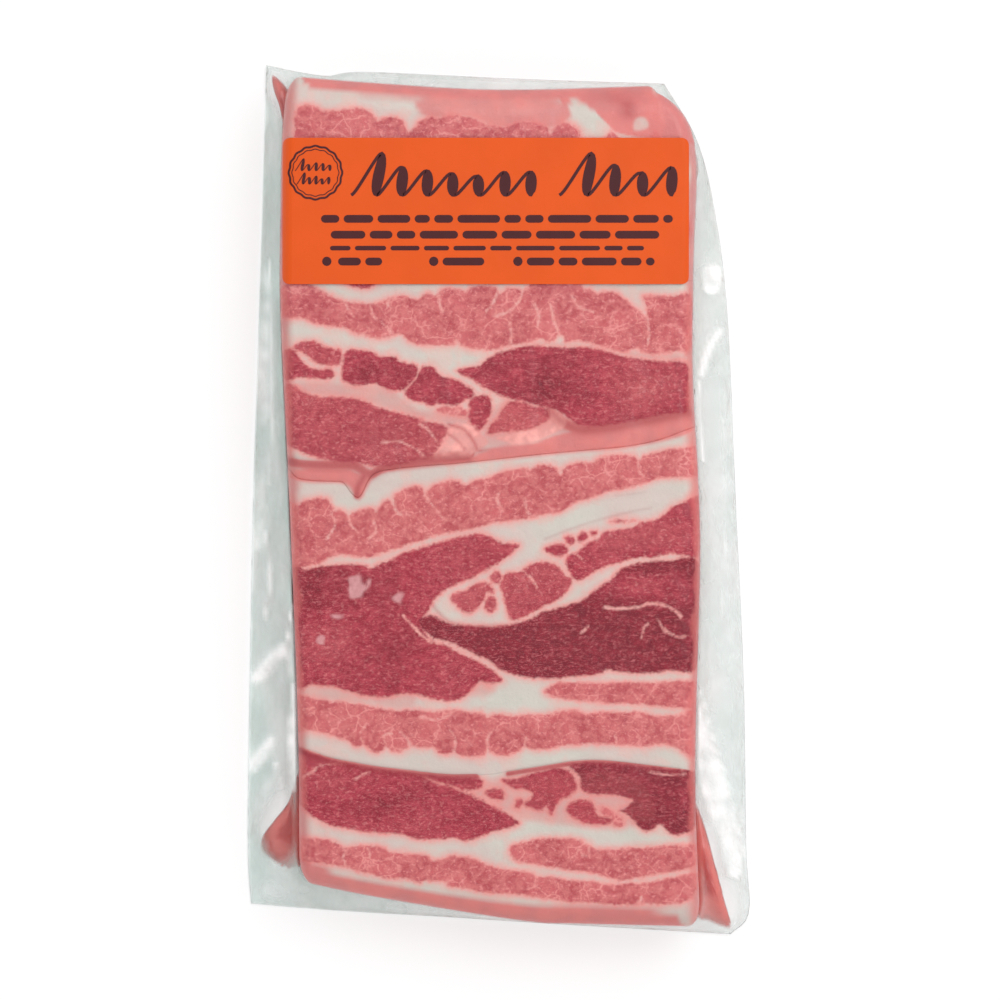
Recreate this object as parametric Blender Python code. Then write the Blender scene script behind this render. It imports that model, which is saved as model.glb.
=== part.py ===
"""A slab of sliced pork belly, vacuum-sealed flat in a clear pouch, with an adhesive label across one end.

The pouch is one closed solid: the slab's body inside a thin margin of film that runs round it and droops to the
table. The label is a thin sheet that lies on top and wraps over both long edges.
Sizes are in metres. +X is across the slab, +Y runs towards the labelled end, and +Z is up from the table.
"""

import math

import bmesh
import bpy
from mathutils import Vector

MM = 0.001

# The slab's body.
SLAB_THICKNESS = 25.0 * MM
TOP_FILLET_HEIGHT = 5.0 * MM
TOP_FILLET_STEPS = 5
LONG_EDGE_FILLET = 3.2 * MM
END_FILLET = 6.5 * MM
WALL_TAPER = 0.4 * MM
BASE_FILLET = 2.4 * MM
BASE_FILLET_MIDDLE = 0.3
SLAB_CORNER_RADIUS = 4.0 * MM

# The film margin round the slab.
MARGIN_ROOT_HEIGHT = 6.0 * MM
MARGIN_EDGE_HEIGHT = 1.4 * MM
MARGIN_SLOPE = 0.6
FILM_WEB = 0.8 * MM
FILM_CORNER_RADIUS = 1.6 * MM
MARGIN_STEPS = (0.22, 0.45, 0.7, 1.0)
WAVE_HEIGHT = 0.5 * MM
WAVE_LENGTH = 31.0 * MM
WAVE_SLANT = 0.7

# The label.
LABEL_LENGTH = 100.0 * MM
LABEL_WIDTH = 36.2 * MM
LABEL_LEFT = -53.7 * MM
LABEL_BOTTOM = 53.0 * MM
LABEL_THICKNESS = 0.4 * MM
LABEL_GAP = 0.35 * MM
LABEL_CORNER_RADIUS = 1.2 * MM
LABEL_CORNER_STEPS = 5
LABEL_BEND_STEPS = 6

# Each side runs anticlockwise from one corner to the next, in millimetres. Both outlines have the same five sides,
# and the fourth corner is cut off at a slant.
SLAB_SIDES = (
    ((-49.5, -94.0), (-30.0, -98.0), (5.0, -103.7), (20.0, -104.5), (49.5, -105.2)),
    ((49.5, -105.2), (48.2, -66.0), (49.4, -10.0), (47.6, 30.0), (47.7, 58.0), (47.9, 88.5)),
    ((47.9, 88.5), (39.5, 102.2)),
    ((39.5, 102.2), (0.0, 101.2), (-30.0, 102.8), (-52.4, 104.6)),
    ((-52.4, 104.6), (-53.7, 90.0), (-54.1, 70.0), (-54.1, 45.0), (-52.0, 0.0), (-49.9, -55.0), (-49.5, -94.0)),
)
FILM_SIDES = (
    ((-62.2, -100.8), (-42.0, -102.5), (-10.0, -104.4), (20.0, -106.3), (57.6, -108.4)),
    ((57.6, -108.4), (62.2, -103.0), (61.5, -86.0), (60.9, -45.0), (58.9, 0.0), (57.0, 44.0), (54.4, 68.0),
     (49.6, 88.9)),
    ((49.6, 88.9), (41.0, 104.0)),
    ((41.0, 104.0), (5.0, 105.2), (-34.0, 107.0), (-44.0, 106.0), (-58.4, 108.6)),
    ((-58.4, 108.6), (-58.9, 92.0), (-60.3, 44.0), (-61.7, 0.0), (-62.8, -60.0), (-63.0, -88.0), (-62.2, -100.8)),
)
SIDE_COUNTS = (28, 42, 8, 26, 42)
CORNER_CROWDING = 0.75
CURVE_STEPS = 24

# Puckers of film that stand up where juice has gathered: start, end, radius and height, in millimetres.
EARS = (
    ((-56.0, -87.0), (-52.0, -84.0), 6.0, 7.0),
    ((51.0, -84.0), (55.5, -105.0), 4.0, 6.0),
    ((-57.0, 106.0), (-54.0, 94.0), 3.0, 5.0),
)

SLAB_COLOUR = (0.61, 0.20, 0.20, 1.0)
LABEL_COLOUR = (0.82, 0.13, 0.02, 1.0)
FILM_ROUGHNESS = 0.25
LABEL_ROUGHNESS = 0.45
SHARP_ANGLE = 40.0


def clear_scene():
    """Removes every object of the open scene."""
    for thing in list(bpy.data.objects):
        bpy.data.objects.remove(thing, do_unlink=True)


def make_material(name, colour, roughness):
    """A plain dielectric surface."""
    material = bpy.data.materials.new(name)
    material.use_nodes = True
    shader = material.node_tree.nodes["Principled BSDF"]
    shader.inputs["Base Color"].default_value = colour
    shader.inputs["Roughness"].default_value = roughness
    shader.inputs["Metallic"].default_value = 0.0
    return material


def add_object(name, mesh_builder, material):
    """Turns a finished bmesh into a named object at the origin."""
    mesh = bpy.data.meshes.new(name)
    mesh_builder.to_mesh(mesh)
    mesh_builder.free()
    mesh.materials.append(material)
    mesh.shade_smooth()
    mesh.set_sharp_from_angle(angle=math.radians(SHARP_ANGLE))
    thing = bpy.data.objects.new(name, mesh)
    bpy.context.scene.collection.objects.link(thing)
    return thing


def hermite(start, end, start_slope, end_slope, t):
    """A point on the cubic between two points with given slopes."""
    a = 2 * t**3 - 3 * t**2 + 1
    b = t**3 - 2 * t**2 + t
    c = -2 * t**3 + 3 * t**2
    d = t**3 - t**2
    return start * a + start_slope * b + end * c + end_slope * d


def smooth_curve(knots):
    """A smooth open curve through the knots, as closely spaced points."""
    points = [Vector(knot) * MM for knot in knots]
    gaps = [(b - a).length for a, b in zip(points, points[1:])]
    tangents = [(b - a) / gap for a, b, gap in zip(points, points[1:], gaps)]
    slopes = [tangents[0]]
    for before, after, gap_before, gap_after in zip(tangents, tangents[1:], gaps, gaps[1:]):
        slopes.append((before * gap_after + after * gap_before) / (gap_before + gap_after))
    slopes.append(tangents[-1])
    curve = []
    for i, gap in enumerate(gaps):
        for k in range(CURVE_STEPS):
            share = k / CURVE_STEPS
            curve.append(hermite(points[i], points[i + 1], slopes[i] * gap, slopes[i + 1] * gap, share))
    curve.append(points[-1])
    return curve


class Outline:
    """A closed outline of smooth sides whose corners are rounded."""

    def __init__(self, sides, corner_radius):
        self.points = []
        self.corners = []
        self.distances = [0.0]
        for side in sides:
            corner, *others = smooth_curve(side)[:-1]
            self.add_point(corner)
            self.corners.append(self.distances[-1])
            for point in others:
                self.add_point(point)
        self.add_point(self.points[0])
        self.length = self.distances[-1]
        self.corners.append(self.length)
        self.radius = corner_radius

    def add_point(self, point):
        """Appends a point and the distance along the outline at which it lies."""
        if self.points:
            self.distances.append(self.distances[-1] + (point - self.points[-1]).length)
        self.points.append(point)

    def plain_point(self, distance):
        """The point at a distance along the outline, with its corners left sharp."""
        distance %= self.length
        low = 0
        high = len(self.distances) - 1
        while high - low > 1:
            middle = (low + high) // 2
            if self.distances[middle] <= distance:
                low = middle
            else:
                high = middle
        share = (distance - self.distances[low]) / (self.distances[high] - self.distances[low])
        return self.points[low].lerp(self.points[high], share)

    def point(self, distance):
        """The point at a distance along the outline, on a curve that rounds any corner near it."""
        for corner in self.corners:
            offset = distance - corner
            if abs(offset) < self.radius:
                share = (offset + self.radius) / (2 * self.radius)
                tip = self.plain_point(corner)
                entering = self.plain_point(corner - self.radius).lerp(tip, share)
                leaving = tip.lerp(self.plain_point(corner + self.radius), share)
                return entering.lerp(leaving, share)
        return self.plain_point(distance)

    def inward_normal(self, corner, side):
        """The inward normal of one side beside a corner: side -1 comes before it and side 1 after it."""
        step = 0.5 * MM * side
        tangent = (self.plain_point(corner + step) - self.plain_point(corner)) * side
        return Vector((-tangent.y, tangent.x)).normalized()

    def corner_shift(self, index, inset_before, inset_after):
        """How a corner moves when the two sides that meet there move inwards by these distances."""
        corner = self.corners[index]
        a = self.inward_normal(corner, -1)
        b = self.inward_normal(corner, 1)
        cross = a.x * b.y - a.y * b.x
        x = (inset_before * b.y - inset_after * a.y) / cross
        y = (inset_after * a.x - inset_before * b.x) / cross
        return Vector((x, y))

    def ring(self, insets=None):
        """Evenly counted points round the outline, closer together at the corners, with each side moved inwards."""
        insets = insets or [0.0] * len(SIDE_COUNTS)
        shifts = []
        for i in range(len(SIDE_COUNTS)):
            shifts.append(self.corner_shift(i, insets[i - 1], insets[i]))
        shifts.append(shifts[0])
        points = []
        for i, count in enumerate(SIDE_COUNTS):
            for k in range(count):
                t = k / count
                t -= CORNER_CROWDING * math.sin(2 * math.pi * t) / (2 * math.pi)
                distance = self.corners[i] + t * (self.corners[i + 1] - self.corners[i])
                points.append(self.point(distance) + shifts[i].lerp(shifts[i + 1], t))
        return points


def side_insets(long_edge, end):
    """The inset of each of the five sides: bottom end, right edge, cut corner, top end and left edge."""
    return (end, long_edge, long_edge, end, long_edge)


def ear_height(point):
    """How far the film is pushed up by the puckers near a point."""
    height = 0.0
    for start, end, radius, rise in EARS:
        a = Vector(start) * MM
        along = Vector(end) * MM - a
        share = min(1.0, max(0.0, (point - a).dot(along) / along.length_squared))
        gap = (point - a - along * share).length
        height += rise * MM * math.exp(-(gap / (radius * MM))**2)
    return height


def margin_ring(slab_ring, film_ring, share, side):
    """Points a share of the way out across the film margin, on its upper (side 1) or lower (side -1) face."""
    ring = []
    for inner, outer in zip(slab_ring, film_ring):
        point = inner.lerp(outer, share)
        drop = min(MARGIN_ROOT_HEIGHT - MARGIN_EDGE_HEIGHT, MARGIN_SLOPE * (outer - inner).length)
        height = MARGIN_ROOT_HEIGHT - drop * math.sin(share * math.pi / 2)
        height += WAVE_HEIGHT * share * math.sin((point.x * WAVE_SLANT + point.y) * 2 * math.pi / WAVE_LENGTH)
        height += ear_height(point)
        ring.append((point.x, point.y, max(height, MARGIN_EDGE_HEIGHT) + side * FILM_WEB / 2))
    return ring


def level_ring(outline, insets, height):
    """A level ring of the slab's body."""
    return [(point.x, point.y, height) for point in outline.ring(insets)]


def top_fillet_rings(outline):
    """Rings from the top of the wall over the rounded edge to the flat top."""
    rings = []
    for k in range(TOP_FILLET_STEPS + 1):
        angle = math.pi / 2 * k / TOP_FILLET_STEPS
        fall = TOP_FILLET_HEIGHT * (1 - math.sin(angle))
        long_edge = WALL_TAPER + (LONG_EDGE_FILLET - WALL_TAPER) * (1 - math.cos(angle))
        end = WALL_TAPER + (END_FILLET - WALL_TAPER) * (1 - math.cos(angle))
        rings.append(level_ring(outline, side_insets(long_edge, end), SLAB_THICKNESS - fall))
    return rings


def pouch_rings():
    """All rings of the sealed pouch, from the base up and over the margin to the flat top."""
    slab = Outline(SLAB_SIDES, SLAB_CORNER_RADIUS)
    film = Outline(FILM_SIDES, FILM_CORNER_RADIUS)
    slab_ring = slab.ring()
    film_ring = film.ring()
    rings = [level_ring(slab, side_insets(BASE_FILLET, BASE_FILLET), 0.0)]
    middle = BASE_FILLET * BASE_FILLET_MIDDLE
    rings.append(level_ring(slab, side_insets(middle, middle), middle))
    rings.append(level_ring(slab, side_insets(0.0, 0.0), BASE_FILLET))
    rings.append(margin_ring(slab_ring, film_ring, 0.0, -1))
    for share in MARGIN_STEPS:
        rings.append(margin_ring(slab_ring, film_ring, share, -1))
    for share in reversed(MARGIN_STEPS):
        rings.append(margin_ring(slab_ring, film_ring, share, 1))
    rings.append(margin_ring(slab_ring, film_ring, 0.0, 1))
    rings.extend(top_fillet_rings(slab))
    return rings


def add_ring(builder, points):
    """Makes a closed loop of edges."""
    vertices = [builder.verts.new(point) for point in points]
    return [builder.edges.new((a, b)) for a, b in zip(vertices, vertices[1:] + vertices[:1])]


def make_pouch():
    """The sealed pouch, lofted from its rings and closed at both ends."""
    builder = bmesh.new()
    loops = [add_ring(builder, ring) for ring in pouch_rings()]
    for lower, upper in zip(loops, loops[1:]):
        bmesh.ops.bridge_loops(builder, edges=lower + upper)
    for loop in (loops[0], loops[-1]):
        bmesh.ops.contextual_create(builder, geom=loop)
    bmesh.ops.recalc_face_normals(builder, faces=builder.faces)
    return add_object("pouch", builder, make_material("film over meat", SLAB_COLOUR, FILM_ROUGHNESS))


def label_outline():
    """The label laid flat, as a rectangle with rounded corners centred on its own middle."""
    half_length = LABEL_LENGTH / 2 - LABEL_CORNER_RADIUS
    half_width = LABEL_WIDTH / 2 - LABEL_CORNER_RADIUS
    points = []
    for quarter, (x, y) in enumerate(((1, 1), (-1, 1), (-1, -1), (1, -1))):
        for k in range(LABEL_CORNER_STEPS + 1):
            angle = math.pi / 2 * (quarter + k / LABEL_CORNER_STEPS)
            points.append((x * half_length + LABEL_CORNER_RADIUS * math.cos(angle),
                           y * half_width + LABEL_CORNER_RADIUS * math.sin(angle), 0.0))
    return points


def flat_end(side):
    """Where the flat top ends beside the label: side -1 is left and side 1 is right."""
    outline = Outline(SLAB_SIDES, SLAB_CORNER_RADIUS)
    beside = [point.x for point in outline.points if LABEL_BOTTOM < point.y < LABEL_BOTTOM + LABEL_WIDTH]
    return side * max(side * x for x in beside) - side * LONG_EDGE_FILLET


def wrap_over_edge(x, lift, edge):
    """Bends a point of the flat label down where it passes the edge of the flat top."""
    side = math.copysign(1.0, edge)
    past = max(0.0, (x - edge) * side)
    width = LONG_EDGE_FILLET - WALL_TAPER
    angle = math.asin(min(1.0, past / (width + LABEL_GAP)))
    across = width * math.sin(angle)
    fall = TOP_FILLET_HEIGHT * (1 - math.cos(angle))
    normal = Vector((math.sin(angle) / width, math.cos(angle) / TOP_FILLET_HEIGHT)).normalized()
    bent_x = x if past == 0.0 else edge + side * (across + normal.x * lift)
    return bent_x, SLAB_THICKNESS - fall + normal.y * lift


def make_label():
    """The adhesive label, wrapped over both long edges with a hair of clearance."""
    builder = bmesh.new()
    face = builder.faces.new([builder.verts.new(point) for point in label_outline()])
    centre_x = LABEL_LEFT + LABEL_LENGTH / 2
    centre_y = LABEL_BOTTOM + LABEL_WIDTH / 2
    bmesh.ops.translate(builder, verts=face.verts, vec=(centre_x, centre_y, 0.0))
    edges = {-1: flat_end(-1), 1: flat_end(1)}
    for side, edge in edges.items():
        for k in range(LABEL_BEND_STEPS):
            x = edge + side * LONG_EDGE_FILLET * k / LABEL_BEND_STEPS
            bmesh.ops.bisect_plane(builder, geom=builder.verts[:] + builder.edges[:] + builder.faces[:],
                                   plane_co=(x, 0.0, 0.0), plane_no=(1.0, 0.0, 0.0))
    raised = bmesh.ops.extrude_face_region(builder, geom=builder.faces[:])["geom"]
    upper = {item for item in raised if isinstance(item, bmesh.types.BMVert)}
    for vertex in builder.verts:
        lift = LABEL_GAP + (LABEL_THICKNESS if vertex in upper else 0.0)
        edge = edges[1 if vertex.co.x > 0 else -1]
        vertex.co.x, vertex.co.z = wrap_over_edge(vertex.co.x, lift, edge)
    bmesh.ops.recalc_face_normals(builder, faces=builder.faces)
    return add_object("label", builder, make_material("orange paper", LABEL_COLOUR, LABEL_ROUGHNESS))


def main():
    """Builds the whole part."""
    clear_scene()
    make_pouch()
    make_label()


main()
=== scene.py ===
"""Looks of a vacuum-packed slab of sliced pork belly: strips, juice, clear film and a printed label."""

import math

import bmesh
import bpy
import numpy as np
from bpy.props import FloatProperty, FloatVectorProperty, PointerProperty
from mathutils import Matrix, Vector


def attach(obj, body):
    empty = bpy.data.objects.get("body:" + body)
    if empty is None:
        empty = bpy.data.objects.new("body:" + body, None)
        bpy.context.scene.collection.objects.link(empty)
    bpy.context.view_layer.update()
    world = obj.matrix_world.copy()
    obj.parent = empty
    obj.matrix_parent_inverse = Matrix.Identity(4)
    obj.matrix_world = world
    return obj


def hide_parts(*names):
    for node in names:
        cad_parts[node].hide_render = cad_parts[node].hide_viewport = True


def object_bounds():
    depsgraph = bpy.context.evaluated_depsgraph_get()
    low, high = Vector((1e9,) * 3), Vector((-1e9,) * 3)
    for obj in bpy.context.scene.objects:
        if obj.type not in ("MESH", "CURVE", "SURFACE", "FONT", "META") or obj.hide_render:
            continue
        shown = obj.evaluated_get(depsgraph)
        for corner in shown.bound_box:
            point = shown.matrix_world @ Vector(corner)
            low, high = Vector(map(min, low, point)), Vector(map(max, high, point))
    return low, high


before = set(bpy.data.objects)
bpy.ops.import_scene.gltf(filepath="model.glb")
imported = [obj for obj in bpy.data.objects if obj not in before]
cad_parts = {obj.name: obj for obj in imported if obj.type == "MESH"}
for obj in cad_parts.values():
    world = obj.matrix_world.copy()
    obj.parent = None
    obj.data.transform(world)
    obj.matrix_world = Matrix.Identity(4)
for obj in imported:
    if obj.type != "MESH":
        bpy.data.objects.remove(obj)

bl_info = {
    "name": "Vacuum-packed pork belly",
    "version": (1, 0, 0),
    "blender": (4, 5, 0),
    "location": "View3D > Sidebar > Belly Pack",
    "description": "Builds the belly strips, juice, clear film, label and studio of one sealed pack",
    "category": "Object",
}

CAD_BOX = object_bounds()
MM = 0.001

# The slab seen from above, in millimetres. A long edge gives x for each y. An end, or a joint between two
# strips, gives y for each x.
LEFT_EDGE = ((-94, -49.5), (-55, -49.9), (0, -52), (45, -54.1), (70, -54.1), (90, -53.7), (104.6, -52.4))
RIGHT_EDGE = ((-105.2, 49.5), (-66, 48.2), (-10, 49.4), (30, 47.6), (58, 47.7), (88.5, 47.9), (102.2, 39.5))
NEAR_END = ((-49.5, -94), (-30, -98), (5, -103.7), (20, -104.5), (49.5, -105.2))
FAR_END = ((-52.4, 104.6), (-30, 102.8), (0, 101.2), (39.5, 102.2))
FIRST_JOINT = ((-55, 54.2), (-30, 53.9), (0, 54.3), (20, 54.6), (48, 54))
SECOND_JOINT = (
    (-54, 9.8), (-52, 7.6), (-50, 5.4), (-46, 4.7), (-41, 4.5), (-38.6, 4.2), (-36.8, 1.8), (-35, 0.5),
    (-33.7, 1.9), (-32.4, 4.6), (-30.5, 6.6), (-26, 7.6), (-18, 8.4), (-10, 9), (0, 10.1), (10, 11.2),
    (20, 12.1), (28, 12.8), (34, 13.6), (40, 15), (45, 16.9), (50, 18.6))
THIRD_JOINT = (
    (-51, -60.4), (-46, -61.8), (-42, -63.4), (-36, -64.5), (-30, -65.6), (-24, -66.2), (-19, -66.9),
    (-14, -67.5), (-3, -67.6), (4, -66.4), (14, -64.8), (19, -64.1), (25, -64), (36, -65.2), (45, -66.2),
    (50, -67.2))

# The film margin's outer edge, given in the same way.
FILM_LEFT = (
    (-100.8, -62.2), (-88, -63), (-60, -62.8), (0, -61.7), (44, -60.3), (92, -58.9), (108.6, -58.4))
FILM_RIGHT = (
    (-108.4, 57.6), (-103, 62.2), (-86, 61.5), (-45, 60.9), (0, 58.9), (44, 57), (68, 54.4), (88.9, 49.6),
    (104, 41))
FILM_NEAR = ((-62.2, -100.8), (-42, -102.5), (-10, -104.4), (20, -106.3), (57.6, -108.4))
FILM_FAR = ((-58.4, 108.6), (-44, 106), (-34, 107), (5, 105.2), (41, 104))

# Heights and roundings of the slab, in millimetres.
TOP = 24.6
EDGE_DROP = 5.0
SIDE_ROUND = 3.2
END_ROUND = 6.5
BASE = 0.4

# About how wide and how long the slab is, for spacing its grid lines, and the lines over a rounded edge.
SLAB_WIDTH = 99.0
SLAB_LENGTH = 207.0
ROUND_LINES = 7

# How far from a line or an outline the looks still change, in millimetres.
REACH = 6.0

# Grooves along the joints: width and depth, in millimetres. The second joint folds more on its far side.
FIRST_GROOVE = (0.8, 0.3)
FOLD_FAR_SIDE = (3.0, 0.5)
FOLD_NEAR_SIDE = (0.8, 0.1)
THIRD_GROOVE = (0.6, 0.12)

# How dark the lean of a muscle is.
LIGHT = 0.0
MEDIUM = 0.6
DARK = 0.85
DARKEST = 1.25

# The lean in each strip: how dark it is, then its outline as seen from above.
MUSCLES_1 = (
    (LIGHT, (
        (-50.6, 91), (-50.2, 95.6), (-48.5, 97.2), (-45.5, 96.8), (-43.5, 95.7), (-40.5, 95.8), (-36, 96.4),
        (-32.5, 95.8), (-31, 94.4), (-30, 93.2), (-28, 94.1), (-25.5, 94), (-23.8, 93), (-23.2, 91.4),
        (-22.4, 90.2), (-21, 91.8), (-19.5, 93.4), (-16.8, 94.4), (-14.8, 93.8), (-13, 94.6), (-10, 94.7),
        (-6.5, 94), (-3.5, 92.7), (0.5, 91.8), (3.5, 92.7), (6.5, 93.2), (10, 92.5), (12, 91.2),
        (12.4, 89.8), (13, 91.2), (15, 92.8), (17, 92.8), (19, 91.3), (20.5, 89), (25, 88.6), (27.6, 90.9),
        (30, 88.6), (36, 88.8), (38.2, 91), (40, 88.8), (44, 86), (43, 80), (20, 79.5), (0, 81), (-20, 79),
        (-40, 78), (-51, 80))),
    (DARK, (
        (-51.5, 74), (-30, 73), (-8, 74.5), (15, 76), (34, 75), (45, 71), (44, 62), (20, 60), (-5, 61),
        (-30, 59.5), (-51.5, 61))),
)
MUSCLES_2 = (
    (LIGHT, (
        (-54.5, 52), (-50, 53.6), (-47, 53.2), (-44, 51.4), (-40, 49.5), (-36, 48.5), (-32, 48.2),
        (-29, 49), (-24.5, 50.3), (-20.6, 49.4), (-18, 51), (-15.6, 50.3), (-14, 51.9), (-10.5, 51.9),
        (-8.2, 51), (-7, 52.3), (-4, 52.7), (-1, 52.1), (-0.2, 50.8), (1.8, 52), (4.5, 51.9), (5.7, 50.9),
        (8, 53.4), (13, 54.2), (19, 53.9), (20.6, 52), (22.6, 51.9), (23.8, 50.6), (25.2, 51.2), (28, 51.1),
        (31, 49.3), (34, 46.8), (35.9, 44.8), (36.3, 46.6), (35.2, 49.7), (37, 50.4), (43, 50.2),
        (47, 50.5), (48, 44), (47, 37), (43.5, 36.7), (39, 36), (36, 36.3), (33.3, 37.4), (31, 36.5),
        (28, 37), (25, 37.8), (22.5, 38.7), (19, 39.2), (16.3, 38.8), (15.7, 40.2), (14.3, 40.6),
        (13.5, 39.4), (11.5, 39), (9.8, 39.8), (7, 38.8), (2, 37.9), (-2, 37.1), (-7, 37.3), (-9.6, 38.3),
        (-10.4, 39.2), (-11.7, 38.2), (-16.6, 38.1), (-19, 38.2), (-22, 39), (-24.3, 40.9), (-25.6, 40.8),
        (-27.2, 40.2), (-30, 39.8), (-33.5, 40.7), (-35.8, 41), (-38, 42.4), (-41, 42.6), (-45.5, 43.4),
        (-49, 44.8), (-54.5, 45.4))),
    (DARK, ((-38.6, 53.9), (-36.4, 52.6), (-33.6, 52), (-31.7, 52.5), (-30.2, 53.9))),
    (MEDIUM, (
        (-50.4, 38.2), (-48, 39), (-45.5, 39.1), (-43, 37.7), (-39.8, 37.1), (-38.9, 36), (-39.3, 33.6),
        (-42, 33.1), (-44.8, 33.5), (-46.5, 34.8), (-48.5, 36.2), (-50.5, 37))),
    (DARK, (
        (-53.4, 36.4), (-50.8, 36.8), (-49, 34.6), (-47, 32.7), (-44.5, 32.2), (-42, 32.2), (-40.6, 31.2),
        (-42, 29.8), (-46, 30), (-50, 30.2), (-53.4, 29.6))),
    (DARK, (
        (-38.3, 35.9), (-36.8, 37), (-33.5, 36.9), (-31, 36.1), (-29.8, 35.3), (-27, 35.6), (-25.4, 35.1),
        (-24.6, 34), (-21.2, 33.5), (-20.1, 32.4), (-20.5, 30.8), (-22, 28.8), (-24.2, 27), (-26.5, 26.8),
        (-29, 27.9), (-31, 28.8), (-34, 28.1), (-37, 28.5), (-38.7, 29.7), (-38.9, 31.5), (-38.6, 34))),
    (DARK, (
        (-19.4, 32.4), (-18, 33), (-16.4, 32.6), (-14.6, 30.8), (-11, 29.7), (-8, 28.1), (-6.2, 26.4),
        (-7.2, 25.3), (-8.6, 24.7), (-10, 23.7), (-12.2, 23.2), (-15, 23.8), (-17, 23.2), (-19.2, 24),
        (-21.6, 24.5), (-23.3, 26.1), (-22.3, 27.8), (-20.6, 29.8))),
    (DARK, (
        (-6.4, 25.1), (-4.5, 25.8), (-2.7, 25.6), (-1.9, 24), (-2, 22), (-3, 19.8), (-4.2, 17.8),
        (-5.2, 17), (-6.6, 18.3), (-8, 20.2), (-7.6, 22.2), (-7.8, 24))),
    (LIGHT, (
        (-15.4, 22.4), (-13, 23), (-10, 22.8), (-8.2, 21.9), (-8, 20.6), (-9.8, 20.6), (-12.5, 21.2),
        (-15, 21.7))),
    (MEDIUM, (
        (-53.2, 27.6), (-51, 28.2), (-49.4, 27.2), (-46.5, 25.9), (-42, 25.3), (-37, 25.2), (-33, 24.2),
        (-30, 22.8), (-25, 21.5), (-20, 20.1), (-16, 18.9), (-13, 18), (-13.1, 16.2), (-14.4, 14.2),
        (-15.8, 12), (-17.2, 10.4), (-19, 9.9), (-24, 9), (-29, 8.2), (-34, 8.8), (-38, 9.2), (-42, 9.6),
        (-46, 10.8), (-50, 12.4), (-53.2, 15))),
    (DARK, (
        (-10.6, 31.7), (-8, 32.5), (-5, 33.2), (-3, 34.8), (0, 36.3), (3.5, 37.4), (8, 38), (12, 37.8),
        (16, 37.4), (21, 37.6), (26, 36.7), (31, 35.3), (36, 34.5), (41, 34.2), (46, 33.6), (46.6, 28),
        (46.4, 22), (42, 21.2), (37, 20.3), (33, 19.4), (28, 18.6), (23, 17.9), (19.5, 18.2), (17.2, 19.7),
        (15, 21.5), (12, 22.5), (8, 23.6), (4, 24.6), (0, 25.8), (-3.5, 27.6), (-7, 29.8))),
    (MEDIUM, (
        (0.9, 22.8), (2.4, 24.1), (4.5, 24.2), (8, 23.2), (11, 22.4), (12.4, 21), (11.2, 19.4), (8, 17.6),
        (4, 17), (0.5, 16.6), (-2.6, 16.2), (-2.8, 17.6), (-1, 19.8))),
)
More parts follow.
